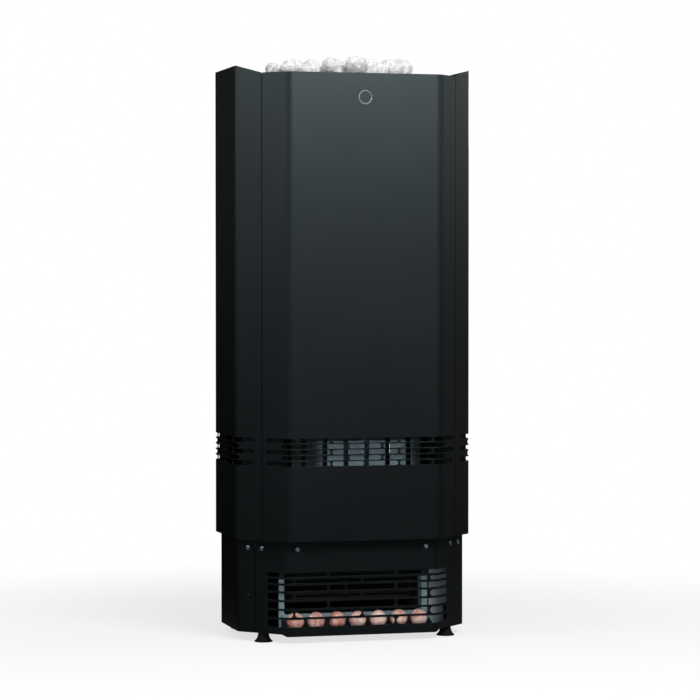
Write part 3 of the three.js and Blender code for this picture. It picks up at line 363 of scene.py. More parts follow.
def heat_steel(tones):
    finish = Finish("heat_darkened_steel", Metallic=1.0)
    streak = finish.cloud(60, 3, (1, 1, 0.08))
    patch = finish.cloud(11, 4)
    return finish.done(
        Base_Color=finish.mix(0.5 * streak + 0.5 * patch, tones.steel, tones.steel_pale),
        Roughness=0.38 + 0.22 * patch,
        Normal=finish.relief(streak + finish.cloud(1400, 1), 0.00005, 0.4),
    )


def plated(name, shade, pale, metal):
    finish = Finish(name, Metallic=metal)
    scuff = finish.cloud(700, 3)
    return finish.done(
        Base_Color=finish.mix(scuff, shade, pale),
        Roughness=0.20 + 0.18 * scuff,
        Normal=finish.relief(scuff, 0.00003, 0.4),
    )


def moulded(name, shade, pale, rough, gloss=0.4):
    finish = Finish(name, Specular_IOR_Level=gloss)
    dust = finish.cloud(40, 4)
    grain = finish.cloud(1800, 2)
    return finish.done(
        Base_Color=finish.mix(dust, shade, pale),
        Roughness=rough + 0.12 * dust,
        Normal=finish.relief(grain, 0.00015, 0.5),
    )


def pale_stone(tones):
    finish = Finish("pale_stone", Specular_IOR_Level=0.3)
    patch = finish.cloud(24, 5)
    speck = finish.cloud(270, 3, roughness=0.7)
    rust = finish.ramp(finish.cloud(13, 3), (0.60, 0), (0.74, 1))
    pit = finish.ramp(speck, (0.36, 0), (0.56, 1))
    grey = finish.mix(finish.ramp(0.75 * patch + 0.25 * speck, (0.42, 0), (0.60, 1)), tones.stone_dark, tones.stone)
    return finish.done(
        Base_Color=finish.mix(0.22 * rust, finish.mix(0.7 * (1 - pit), grey, tones.stone_pit), tones.stone_rust),
        Roughness=0.78 + 0.16 * patch,
        Normal=finish.relief(0.7 * finish.cloud(130, 4) + 0.3 * pit, 0.0026, 0.9),
    )


def rock_salt(tones):
    finish = Finish("rock_salt", Subsurface_Weight=0.18, Subsurface_Scale=0.006)
    patch = finish.cloud(52, 5, roughness=0.62)
    vein = finish.ramp(finish.cloud(95, 5, (1, 1, 0.5), 0.7), (0.50, 0), (0.66, 1))
    flush = finish.ramp(finish.cloud(17, 1), (0.36, 0), (0.62, 1))
    pink = finish.mix(finish.ramp(0.7 * patch + 0.3 * flush, (0.34, 0), (0.62, 1)), tones.salt, tones.salt_pale)
    return finish.done(
        Base_Color=finish.mix(0.75 * vein, pink, tones.salt_white),
        Roughness=0.34 + 0.30 * vein,
        Normal=finish.relief(patch + 0.5 * finish.cloud(420, 3), 0.0006, 0.5),
    )


def finishes():
    """Every finish by its slot in the record, made once"""
    tones = bpy.context.scene.heater_colours
    made = bpy.data.materials
    if "powder_coat" not in made:
        powder_coat(tones)
        zinc_sheet("galvanised_sheet", tones)
        # The skirt, duct, tray and floor sheets carry painted shade; the duct sheet also carries painted light
        # beside its window
        zinc_sheet("skirt_sheet", tones, skirt_painted_shade)
        zinc_sheet("duct_sheet", tones, duct_painted_shade, screen_painted_light)
        zinc_sheet("tray_sheet", tones, tray_painted_shade)
        zinc_sheet("floor_sheet", tones, floor_painted_shade)
        heat_steel(tones)
        plated("plated_screw", tones.screw, tones.zinc_pale, 1.0)
        plated("badge_rim", tones.badge, tones.zinc, 1.0)
        moulded("moulded_rubber", tones.rubber, (0.006, 0.006, 0.0062, 1), 0.66, 0.1)
        moulded("dull_paint", tones.coat, tones.coat_pale, 0.7, 0.06)
        moulded("moulded_plastic", tones.plastic, (0.026, 0.026, 0.027, 1), 0.42)
        moulded("terminal_ceramic", tones.ceramic, (0.80, 0.77, 0.70, 1), 0.45)
        pale_stone(tones)
        rock_salt(tones)
    return {
        "black_paint": made["powder_coat"],
        "galvanised": made["galvanised_sheet"],
        "chamber_steel": made["heat_darkened_steel"],
        "element_steel": made["heat_darkened_steel"],
        "black_plastic": made["moulded_plastic"],
        "ceramic": made["terminal_ceramic"],
        "foot_rubber": made["moulded_rubber"],
        "salt": made["rock_salt"],
        "sauna_stone": made["pale_stone"],
        "badge_steel": made["badge_rim"],
    }


# Pieces


def piece(name, bm, slot, replaces=(), body=BODY, turn=None, smooth=35, finish=None):
    """A finished mesh object that rides on a body"""
    bmesh.ops.recalc_face_normals(bm, faces=bm.faces)
    if turn:
        bmesh.ops.transform(bm, matrix=turn, verts=bm.verts)
    mesh = bpy.data.meshes.new(name)
    bm.to_mesh(mesh)
    bm.free()
    mesh.polygons.foreach_set("use_smooth", [True] * len(mesh.polygons))
    mesh.set_sharp_from_angle(angle=math.radians(smooth))
    made = bpy.data.objects.new(name, mesh)
    bpy.context.scene.collection.objects.link(made)
    made_finish = finishes()[slot]
    mesh.materials.append(bpy.data.materials[finish] if finish else made_finish)
    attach(made, body)
    if replaces:
        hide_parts(*replaces)
    return made


def even_normals(made):
    """Lets the large flat faces keep their own direction beside rounded edges"""
    evened = made.modifiers.new("even_normals", "WEIGHTED_NORMAL")
    evened.keep_sharp = True
    return made


def dress(names, edge=0.0003, finish=None):
    """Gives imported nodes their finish, rounded edges and smooth rounds"""
    slots = {row["node"]: row["material_slot"] for row in frame["record"]["subparts"]}
    for name in names:
        node = NODES[name]
        made = finishes()[slots[name]]
        node.data.materials.clear()
        node.data.materials.append(bpy.data.materials[finish] if finish else made)
        node.modifiers.new("weld", "WELD").merge_threshold = 1e-5
        rounded = node.modifiers.new("edge", "BEVEL")
        rounded.width = edge
        rounded.segments = 2
        rounded.limit_method = "ANGLE"
        rounded.angle_limit = math.radians(50)
        rounded.harden_normals = False
        evened = node.modifiers.new("even_normals", "WEIGHTED_NORMAL")
        evened.keep_sharp = True


def sequence(seed):
    """Steady numbers between 0 and 1"""
    state = seed
    while True:
        state = state * 16807 % 2147483647
        yield state / 2147483647


def arc(x, z, radius, start, end, facets):
    steps = [start + (end - start) * k / facets for k in range(facets + 1)]
    return [(x + radius * math.cos(a), z + radius * math.sin(a)) for a in steps]


def slot_edge(middle, level, length, height, facets):
    """Outline of a slot, drawn back into the sheet by any depth"""

    def outline(back):
        reach = (length - height) / 2
        radius = height / 2 + back
        half = math.pi / 2
        right = arc(middle + reach, level, radius, -half, half, facets)
        return right + arc(middle - reach, level, radius, half, 3 * half, facets)

    return outline


def hole_edge(x, z, radius, facets):
    return lambda back: arc(x, z, radius + back, 0, 2 * math.pi, facets)[1:]


def sheet_edge(corners):
    """Outline of a blank, given counter-clockwise, drawn back into the sheet by any depth"""

    def outline(back):
        moved = []
        for i, corner in enumerate(corners):
            here = Vector(corner)
            come = (here - Vector(corners[i - 1])).normalized()
            go = (Vector(corners[(i + 1) % len(corners)]) - here).normalized()
            first, second = Vector((-come.y, come.x)), Vector((-go.y, go.x))
            moved.append(here + (first + second) * back / (1 + first.dot(second)))
        return [tuple(point) for point in moved]

    return outline


class Fold:
    """How a panel folds: a flat middle, a fold at each side, a flange up to the seam"""

    angle = math.pi / 4

    def __init__(self, wall, corner, radius, seam, shift=0):
        tangent = radius * math.tan(self.angle / 2)
        self.radius = radius
        self.arc = radius * self.angle
        self.flat = wall / 2 - corner - tangent
        self.apex = self.flat + tangent
        self.half = self.flat + self.arc + corner / math.sqrt(2) - tangent - seam / 2 + shift

    def lines(self, facets):
        steps = [self.flat + self.arc * k / facets for k in range(facets + 1)]
        return [-step for step in steps] + steps

    def bend(self, along, deep):
        reach = abs(along)
        if reach <= self.flat:
            return along, deep
        turn = min((reach - self.flat) / self.radius, self.angle)
        rest = max(reach - self.flat - self.arc, 0)
        across = self.flat + (self.radius - deep) * math.sin(turn) + rest * math.cos(turn)
        inward = self.radius - (self.radius - deep) * math.cos(turn) + rest * math.sin(turn)
        return math.copysign(across, along), inward


def folded_sheet(edges, fold, sizes):
    """A blank cut along its edges, with rounded rims, then folded"""
    bm = bmesh.new()
    rim, thick = sizes.edge, sizes.thickness
    soft = rim * (1 - math.sqrt(0.5))
    rings = [(rim, 0), (soft, soft), (0, rim), (0, thick - rim), (soft, thick - soft), (rim, thick)]
    faces = ([], [])
    for edge in edges:
        loops = []
        for back, deep in rings:
            loops.append([bm.verts.new((x, deep, z)) for x, z in edge(back)])
        count = len(loops[0])
        for first, second in zip(loops, loops[1:]):
            for i in range(count):
                j = (i + 1) % count
                bm.faces.new((first[i], first[j], second[j], second[i]))
        for face, loop in zip(faces, (loops[0], loops[-1])):
            face.extend(bm.edges.get((loop[i], loop[(i + 1) % count])) for i in range(count))
    for face in faces:
        bmesh.ops.triangle_fill(bm, use_beauty=True, edges=face)
    for line in fold.lines(sizes.fold_facets):
        whole = bm.verts[:] + bm.edges[:] + bm.faces[:]
        bmesh.ops.bisect_plane(bm, geom=whole, dist=1e-7, plane_co=(line, 0, 0), plane_no=(1, 0, 0))
    for vert in bm.verts:
        vert.co.x, vert.co.y = fold.bend(vert.co.x, vert.co.y)
    return bm


def wall_place(side):
    """Where a panel of a wall goes: its outer face in the middle of that wall"""
    return {
        "front": lambda low, high: Matrix.Translation((0, low.y, 0)),
        "rear": lambda low, high: Matrix.Translation((0, high.y, 0)) @ Matrix.Rotation(math.pi, 4, "Z"),
        "left": lambda low, high: Matrix.Translation((low.x, 0, 0)) @ Matrix.Rotation(-math.pi / 2, 4, "Z"),
        "right": lambda low, high: Matrix.Translation((high.x, 0, 0)) @ Matrix.Rotation(math.pi / 2, 4, "Z"),
    }[side]


def lathe(profile, facets, bm=None, place=None):
    """A profile of (radius, height) pairs turned about Z; ends on the axis are closed"""
    bm = bm or bmesh.new()
    place = place or Matrix.Identity(4)
    rings = []
    for radius, height in profile:
        if radius < 1e-7:
            rings.append([bm.verts.new(place @ Vector((0, 0, height)))])
            continue
        turns = [2 * math.pi * k / facets for k in range(facets)]
        rings.append(
            [bm.verts.new(place @ Vector((radius * math.cos(a), radius * math.sin(a), height))) for a in turns]
        )
    for first, second in zip(rings, rings[1:]):
        for k in range(facets):
            n = (k + 1) % facets
            corner = [first[k % len(first)], first[n % len(first)], second[n % len(second)], second[k % len(second)]]
            bm.faces.new(list(dict.fromkeys(corner)))
    return bm


# Casing and base


def vent_edges(fold, sizes):
    edges = []
    length = sizes.vent_pitch - sizes.vent_web
    for row in range(sizes.vent_rows):
        level = sizes.vent_bottom + sizes.vent_height / 2 + row * sizes.vent_row
        middle = 0 if row % 2 else sizes.vent_pitch / 2
        while middle + length / 2 + sizes.vent_edge <= fold.half:
            for place in {middle, -middle}:
                edges.append(slot_edge(place, level, length, sizes.vent_height, sizes.slot_facets))
            middle += sizes.vent_pitch
    return edges


class HEATER_OT_casing(Operator):
    """Fold the four slotted casing panels"""

    bl_idname = "heater.casing"
    bl_label = "Casing panels"

    def execute(self, context):
        sizes = context.scene.heater_sheet
        low = Vector(map(min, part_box("left_side_panel")[0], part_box("front_panel")[0]))
        high = Vector(map(max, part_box("right_side_panel")[1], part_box("rear_panel")[1]))
        badge_low, badge_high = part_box("badge_disc")
        bottom, front_top = low.z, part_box("front_panel")[1].z
        walls = {
            "front": ("front_panel", high.x - low.x),
            "rear": ("rear_panel", high.x - low.x),
            "left": ("left_side_panel", high.y - low.y),
            "right": ("right_side_panel", high.y - low.y),
        }
        for side, (node, wall) in walls.items():
            fold = Fold(wall, sizes.casing_corner, sizes.casing_radius, sizes.seam)
            corners = [(-fold.half, bottom), (fold.half, bottom), (fold.half, front_top), (-fold.half, front_top)]
            if side in ("left", "right"):
                top = front_top + sizes.side_rise
                corners[3:3] = [(fold.apex, top), (-fold.apex, top)]
            edges = [sheet_edge(corners)] + vent_edges(fold, sizes)
            if side == "front":
                badge = (badge_low + badge_high) / 2
                radius = (badge_high.x - badge_low.x) / 2 + 0.0003
                edges.append(hole_edge(badge.x, badge.z, radius, 64))
            sheet = folded_sheet(edges, fold, sizes)
            made = piece(node + "_sheet", sheet, "black_paint", [node], turn=wall_place(side)(low, high))
            even_normals(made)
        return {"FINISHED"}


def grille_edges(fold, sizes):
    """Rows of long slots, the webs of one row over the middles of the slots of the next"""
    rows = (0.015, 0.013, 0.013, 0.013, 0.011, 0.008, 0.008)
    edges = []
    reach = fold.half - sizes.grille_edge
    low = sizes.grille_bottom
    for row, height in enumerate(rows):
        end = reach + sizes.grille_web / 2
        web = 0 if row % 2 else sizes.grille_pitch / 2
        webs = {-end, end}
        while web < reach:
            webs |= {web, -web}
            web += sizes.grille_pitch
        webs = sorted(webs)
        for left, right in zip(webs, webs[1:]):
            span = right - left - sizes.grille_web
            edges.append(slot_edge((left + right) / 2, low + height / 2, span, height, sizes.slot_facets))
        low += height + sizes.grille_bar
    return edges


class HEATER_OT_base(Operator):
    """Fold the four base panels, with the outlet grille in the front one"""

    bl_idname = "heater.base"
    bl_label = "Base panels"

    def execute(self, context):
        sizes = context.scene.heater_sheet
        low = Vector(map(min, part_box("base_left_panel")[0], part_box("base_front_panel")[0]))
        high = Vector(map(max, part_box("base_right_panel")[1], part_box("base_rear_panel")[1]))
        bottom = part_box("base_left_panel")[0].z
        gland_low, gland_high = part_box("cable_gland")
        walls = {
            "front": ("base_front_panel", high.x - low.x),
            "rear": ("base_rear_panel", high.x - low.x),
            "left": ("base_left_panel", high.y - low.y),
            "right": ("base_right_panel", high.y - low.y),
        }
        for side, (node, wall) in walls.items():
            shift = sizes.base_shift if side in ("front", "rear") else -sizes.base_shift
            fold = Fold(wall, sizes.base_corner, sizes.base_radius, sizes.seam, shift)
            corners = [(fold.half, bottom), (fold.half, high.z), (-fold.half, high.z), (-fold.half, bottom)]
            edges = []
            if side == "front":
                narrow = fold.flat + fold.arc / 2
                wide = narrow + sizes.lip_bevel
                lip = bottom - sizes.lip_drop
                corners += [(-wide, bottom), (-narrow, lip), (narrow, lip), (wide, bottom)]
                edges = grille_edges(fold, sizes)
            if side == "rear":
                gland = (gland_low + gland_high) / 2
                edges = [hole_edge(-gland.x, gland.z, 0.0103, 32)]
            sheet = folded_sheet([sheet_edge(corners)] + edges, fold, sizes)
            made = piece(node + "_sheet", sheet, "black_paint", [node], turn=wall_place(side)(low, high))
            even_normals(made)
        return {"FINISHED"}


class HEATER_OT_badge(Operator):
    """Turn the plain round badge with its raised rim"""

    bl_idname = "heater.badge"
    bl_label = "Plain badge"

    def execute(self, context):
        low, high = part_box("badge_disc")
        middle, radius, deep = (low + high) / 2, (high.x - low.x) / 2, high.y - low.y
        place = Matrix.Translation((middle.x, high.y, middle.z)) @ Matrix.Rotation(math.pi / 2, 4, "X")
        rim = 0.0022
        field = lathe([(0, deep - 0.0007), (radius - rim, deep - 0.0007), (radius - rim, 0), (0, 0)], 64)
        piece("badge_field", field, "black_paint", turn=place)
        inner, outer = radius - rim + 0.0001, radius
        turned = [(inner, 0), (inner, deep - 0.0004), (inner + 0.0004, deep), (outer - 0.0004, deep)]
        turned += [(outer, deep - 0.0004), (outer, 0), (inner, 0)]
        piece("badge_rim", lathe(turned, 64), "badge_steel", ["badge_disc"], turn=place)
        return {"FINISHED"}


class HEATER_OT_screws(Operator):
    """Set the plated screws and the coated rivets of the base"""

    bl_idname = "heater.screws"
    bl_label = "Screws and rivets"

    def execute(self, context):
        sheet, sizes = context.scene.heater_sheet, context.scene.heater_details
        low = Vector(map(min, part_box("base_left_panel")[0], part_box("base_front_panel")[0]))
        high = Vector(map(max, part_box("base_right_panel")[1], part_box("base_rear_panel")[1]))
        screws, rivets = bmesh.new(), bmesh.new()
        for side in (-1, 1):
            wall = low.y if side < 0 else high.y
            for across in (-sizes.screw_across, sizes.screw_across):
                facing = Vector((0, side, 0))
                self.screw(screws, Vector((across, wall, sizes.screw_level)), facing, sizes)
            for edge in (-1, 1):
                facing = Vector((edge, side, 0)).normalized()
                along = Vector((edge, -side, 0)).normalized()
                seam = Vector((edge * (high.x - sheet.base_corner / 2), side * (high.y - sheet.base_corner / 2), 0))
                seam += along * sheet.base_shift
                for step in (-sizes.screw_from_seam, sizes.screw_from_seam):
                    at = seam + along * step
                    self.screw(screws, Vector((at.x, at.y, sizes.screw_level)), facing, sizes)
                at = seam + along * sizes.screw_from_seam
                self.rivet(rivets, Vector((at.x, at.y, sizes.rivet_level)), facing, sizes)
        piece("base_screws", screws, "badge_steel", finish="plated_screw")
        piece("base_rivets", rivets, "black_paint")
        return {"FINISHED"}

    def screw(self, bm, at, facing, sizes):
        """A pan head with a cross recess"""
        place = Matrix.Translation(at) @ facing.to_track_quat("Z", "Y").to_matrix().to_4x4()
        place = place @ Matrix.Rotation(at.x * 40, 4, "Z")
        radius, height = sizes.screw_radius, sizes.screw_height
        steps = 14
        dome = [
            (radius * (1 - k / steps), height * (0.55 + 0.45 * math.sin(math.pi / 2 * min(1, 1.6 * k / steps))))
            for k in range(steps + 1)
        ]
        head = lathe([(0, 0), (radius, 0)] + dome, 40)
        arm, reach, deep = 0.13 * radius, 0.62 * radius, 0.55 * height
        for vert in head.verts:
            x, y = abs(vert.co.x), abs(vert.co.y)
            if vert.co.z > 0.5 * height and min(x, y) < arm and max(x, y) < reach:
                vert.co.z -= deep * (1 - max(x, y) / reach) ** 0.5
        bmesh.ops.transform(head, matrix=place, verts=head.verts)
        self.add(bm, head)

    def rivet(self, bm, at, facing, sizes):
        place = Matrix.Translation(at) @ facing.to_track_quat("Z", "Y").to_matrix().to_4x4()
        radius = sizes.rivet_radius
        dome = [(radius * math.cos(a), 0.4 * radius * math.sin(a)) for a in (math.pi / 2 * k / 6 for k in range(7))]
        head = lathe([(0, 0)] + dome[:-1] + [(0, 0.4 * radius)], 28)
        bmesh.ops.transform(head, matrix=place, verts=head.verts)
        self.add(bm, head)

    def add(self, bm, head):
        mesh = bpy.data.meshes.new("head")
        head.to_mesh(mesh)
        head.free()
        bm.from_mesh(mesh)
        bpy.data.meshes.remove(mesh)


# Inside


class HEATER_OT_frame(Operator):
    """Dress the posts, deck, skirt, chamber and elements"""

    bl_idname = "heater.frame"
    bl_label = "Frame and chamber"

    def execute(self, context):
        corners = ("front_left", "front_right", "rear_left", "rear_right")
        dress(["corner_post_" + corner for corner in corners], 0.0004, "dull_paint")
        dress(["chamber_strap_" + corner for corner in corners])
        dress(["stone_chamber", "stone_grate", "element_carrier"])
        # The skirt carries painted shade at its corners and top
        dress(["chamber_skirt"], finish="skirt_sheet")
        # The deck and the base floor carry painted shade
        dress(["deck_plate", "base_floor"], finish="floor_sheet")
        dress(["heating_element_1", "heating_element_2", "heating_element_3"])
        return {"FINISHED"}


class HEATER_OT_fan(Operator):
    """Dress the duct, fan, salt tray and terminal box"""

    bl_idname = "heater.fan"
    bl_label = "Fan and duct"

    def execute(self, context):
        # The duct carries painted shade behind its frame and painted light on the screen beside it
        dress(["outlet_duct"], finish="duct_sheet")
        # The tray carries painted shade below its sill
        dress(["salt_tray"], finish="tray_sheet")
        dress(["fan_scroll", "terminal_box", "terminal_lid", "terminal_block"])
        dress(["fan_impeller", "fan_motor", "fan_bush"])
        return {"FINISHED"}


class HEATER_OT_feet(Operator):
    """Turn the bell-shaped feet with their threaded studs"""

    bl_idname = "heater.feet"
    bl_label = "Levelling feet"

    def execute(self, context):
        pitch = context.scene.heater_details.thread_pitch
        for corner in ("front_left", "front_right", "rear_left", "rear_right"):
            node = "foot_" + corner
            low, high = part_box(node)
            middle, radius = (low + high) / 2, (high.x - low.x) / 2
            neck_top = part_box("base_floor")[0].z - 0.0003
            neck, rim, stud, shoulder = 0.0105, 0.0026, 0.0050, 0.0125
            bell = [(0, 0), (radius - 0.0006, 0), (radius, 0.0006), (radius, rim - 0.0006)]
            bell += [(radius - 0.0006, rim)]
            steps = 14
            for k in range(1, steps + 1):
                t = k / steps
                across = (1 - t) ** 2 * (radius - 0.0006) + 2 * t * (1 - t) * shoulder + t * t * neck
                rise = (1 - t) ** 2 * rim + 2 * t * (1 - t) * 0.0050 + t * t * (neck_top - 0.0005)
                bell.append((across, rise))
            bell += [(neck - 0.0005, neck_top), (stud, neck_top)]
            level = neck_top + pitch / 2
            while level < high.z - pitch:
                bell += [(stud, level), (stud - 0.0006, level + pitch / 2)]
                level += pitch
            bell += [(stud - 0.0006, high.z - 0.0006), (stud - 0.0012, high.z), (0, high.z)]
            foot = lathe(bell, 48)
            place = Matrix.Translation((middle.x, middle.y, 0))
            piece(node + "_turned", foot, "foot_rubber", [node], "levelling_foot_" + corner, place, 40)
        return {"FINISHED"}


class HEATER_OT_gland(Operator):
    """Model the cable gland: hexagon, ribbed dome nut and seal"""

    bl_idname = "heater.gland"
    bl_label = "Cable gland"

    def execute(self, context):
        low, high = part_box("cable_gland")
        middle = (low + high) / 2
        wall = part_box("base_rear_panel")[1].y
        out, radius = high.y - wall, (high.z - low.z) / 2
        hexagon, collar, bore = 0.006, 0.0003, 0.0070
        place = Matrix.Translation((middle.x, wall, middle.z)) @ Matrix.Rotation(-math.pi / 2, 4, "X")
        flats = lathe([(bore, collar), (radius, collar), (radius, hexagon), (bore, hexagon), (bore, collar)], 6)
        rim = [edge for edge in flats.edges if all(v.co.xy.length > 0.9 * radius for v in edge.verts)]
        bmesh.ops.bevel(flats, geom=rim, offset=0.0008, segments=2, affect="EDGES")
        piece("gland_hexagon", flats, "black_plastic", turn=place)
        dome = bmesh.new()
        facets, ribs = 96, 12
        profile = [(bore, hexagon), (0.0105, hexagon), (0.0112, hexagon + 0.0006), (0.0112, out - 0.0045)]
        profile += [(0.0104, out - 0.0020), (0.0090, out - 0.0006), (0.0082, out), (bore, out - 0.0004)]
        profile += [(bore, hexagon)]
        lathe(profile, facets, dome)
        for vert in dome.verts:
            across = vert.co.xy.length
            if across > 0.0100:
                turn = math.atan2(vert.co.y, vert.co.x) * ribs
                vert.co.xy *= 1 - 0.05 * max(0, math.cos(turn)) ** 2
        piece("gland_dome", dome, "black_plastic", turn=place)
        seal = [(0.0040, out - 0.0040), (0.0069, out - 0.0040), (0.0069, out - 0.0012), (0.0052, out - 0.0012)]
        seal += [(0.0040, out - 0.0030), (0.0040, out - 0.0040)]
        piece("gland_seal", lathe(seal, 48), "foot_rubber", turn=place)
        stem = [(bore, low.y - wall), (0.0097, low.y - wall), (0.0097, collar), (bore, collar), (bore, low.y - wall)]
        piece("gland_stem", lathe(stem, 48), "black_plastic", ["cable_gland"], turn=place)
        return {"FINISHED"}


# Stones and salt


def weathered(verts, centre, relief, seed):
    """Dents and pits that follow steady noise"""
    for vert in verts:
        away = (vert.co - centre).normalized()
        spot = vert.co * 30 + Vector((seed, 0, 0))
        swell = noise.noise(spot) + 0.45 * noise.noise(spot * 2.7) + 0.2 * noise.noise(spot * 7)
        vert.co += away * relief * swell


def pebble(bm, centre, half, turn, relief, seed, detail=4):
    """A rounded stone with a few flattened sides"""
    start = len(bm.verts)
    made = bmesh.ops.create_icosphere(bm, subdivisions=detail, radius=1)["verts"]
    number = sequence(seed)
    flats = []
    for _ in range(5):
        side = Vector((next(number) - 0.5, next(number) - 0.5, next(number) - 0.5)).normalized()
        flats.append((side, 0.72 + 0.2 * next(number)))
    for vert in made:
        for side, limit in flats:
            past = vert.co.dot(side) - limit
            if past > 0:
                vert.co -= side * past * 0.7
    shape = Matrix.Translation(centre) @ turn.to_4x4() @ Matrix.Diagonal((*half, 1))
    bmesh.ops.transform(bm, matrix=shape, verts=made)
    weathered(made, centre, relief, seed)
    return start


class HEATER_OT_stones(Operator):
    """Shape the loose stones on top and the bed of stones under them"""

    bl_idname = "heater.stones"
    bl_label = "Stones"

    def execute(self, context):
        sizes = context.scene.heater_details
        loose = sorted(name for name in NODES if name.startswith("stone_") and name[6:].isdigit())
        for number, node in enumerate(loose):
            self.loose_stone(node, number, sizes.stone_relief)
        self.bed(sizes)
        return {"FINISHED"}

    def loose_stone(self, node, number, relief):
        bm = bmesh.new()
        bm.from_mesh(NODES[node].data)
        bmesh.ops.remove_doubles(bm, verts=bm.verts, dist=1e-5)
        centre = sum((vert.co for vert in bm.verts), Vector()) / len(bm.verts)
        for factor in (0.3, 0.4, 0.5):
            bmesh.ops.subdivide_edges(bm, edges=bm.edges, cuts=1, use_grid_fill=True, smooth=0)
            bmesh.ops.smooth_vert(
                bm, verts=bm.verts, factor=factor, use_axis_x=True, use_axis_y=True, use_axis_z=True
            )
        for vert in bm.verts:
            vert.co = centre + (vert.co - centre) * 1.03
        weathered(bm.verts, centre, relief, 5.3 * number)
        piece(node + "_worn", bm, "sauna_stone", [node], smooth=180)

    def bed(self, sizes):
        low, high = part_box("stone_bed")
        node = NODES["stone_bed"].data
        surface = BVHTree.FromPolygons([v.co for v in node.vertices], [p.vertices for p in node.polygons])
        number = sequence(311)
        bm = bmesh.new()
        pitch = sizes.bed_pitch
        edge = 0.026
        columns = int((high.x - low.x - 2 * edge) / pitch) + 1
        rows = int((high.y - low.y - 2 * edge) / pitch) + 1
        for layer in range(2):
            for column in range(columns):
                for row in range(rows):
                    shift = 0.5 * ((row + layer) % 2)
                    x = low.x + edge + (column + shift * 0.6) * (high.x - low.x - 2 * edge) / (columns - 0.7)
                    y = low.y + edge + row * (high.y - low.y - 2 * edge) / (rows - 1)
                    x += pitch * 0.22 * (next(number) - 0.5)
                    y += pitch * 0.22 * (next(number) - 0.5)
                    long = 0.5 * pitch * (1.12 + 0.3 * next(number))
                    half = (long, long * (0.78 + 0.16 * next(number)), long * (0.6 + 0.16 * next(number)))
                    turn = Matrix.Rotation(6.28 * next(number), 3, "Z")
                    turn = turn @ Matrix.Rotation(0.6 * (next(number) - 0.5), 3, "X")
                    top = surface.ray_cast(Vector((x, y, high.z + 1)), Vector((0, 0, -1)))[0]
                    if top is None:
                        continue
                    x = min(max(x, low.x + long), high.x - long)
                    y = min(max(y, low.y + long), high.y - long)
                    level = top.z - half[2] - 0.001 - layer * 0.036
                    seed = 17 + 97 * layer + 13 * column + 7 * row
                    pebble(bm, Vector((x, y, level)), half, turn, sizes.stone_relief, seed, 4)
        self.chips(bm, surface, sizes, low, high)
        piece("stone_bed_heap", bm, "sauna_stone", ["stone_bed"], smooth=180)


    def chips(self, bm, surface, sizes, low, high):
        """Smaller stones on the bed, in the gaps that the loose ones leave"""
        boxes = [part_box(name) for name in NODES if name.startswith("stone_") and name[6:].isdigit()]
        taken = [((a + b) / 2, (b - a).xy.length / 2.8) for a, b in boxes]
        crown = min(b.z for a, b in boxes) - 0.008
        number = sequence(57)
        step = 0.4 * sizes.chip_length
        room = 0.6 * sizes.chip_length
        columns = int((high.x - low.x - 2 * room) / step)
        rows = int((high.y - low.y - 2 * room) / step)
        for place in range(columns * rows):
            x = low.x + room + step * (place % columns + 0.5 * next(number))
            y = low.y + room + step * (place // columns + 0.5 * next(number))
            long = 0.5 * sizes.chip_length * (0.75 + 0.6 * next(number))
            half = (long, long * (0.65 + 0.2 * next(number)), long * (0.55 + 0.15 * next(number)))
            turn = Matrix.Rotation(6.28 * next(number), 3, "Z")
            turn = turn @ Matrix.Rotation(1.2 * (next(number) - 0.5), 3, "Y")
            spot = Vector((x, y, 0))
            if any((spot - middle).xy.length < 0.6 * (long + reach) for middle, reach in taken):
                continue
            top = surface.ray_cast(Vector((x, y, high.z + 1)), Vector((0, 0, -1)))[0]
            for layer in range(2):
                level = min(top.z + (0.8 + 1.3 * layer) * half[2], crown - 1.1 * half[2])
                pebble(bm, Vector((x, y, level)), half, turn, sizes.stone_relief, 2 * place + layer, 3)
            taken.append((spot, long))


class HEATER_OT_salt(Operator):
    """Shape the salt balls in their tray"""

    bl_idname = "heater.salt"
    bl_label = "Salt balls"

    def execute(self, context):
        relief = context.scene.heater_details.salt_relief
        for node in sorted(name for name in NODES if name.startswith("salt_ball_")):
            low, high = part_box(node)
            centre, radius = (low + high) / 2, (high.z - low.z) / 2
            bm = bmesh.new()
            ball = bmesh.ops.create_icosphere(bm, subdivisions=5, radius=radius - relief)["verts"]
            for vert in ball:
                vert.co += centre
            for vert in ball:
                spot = vert.co * 70
                dent = noise.noise(spot) + 0.5 * noise.noise(spot * 2.3)
                vert.co += (vert.co - centre).normalized() * relief * dent * 0.7
            piece(node + "_turned", bm, "salt", [node], smooth=180)
        return {"FINISHED"}


# Stage


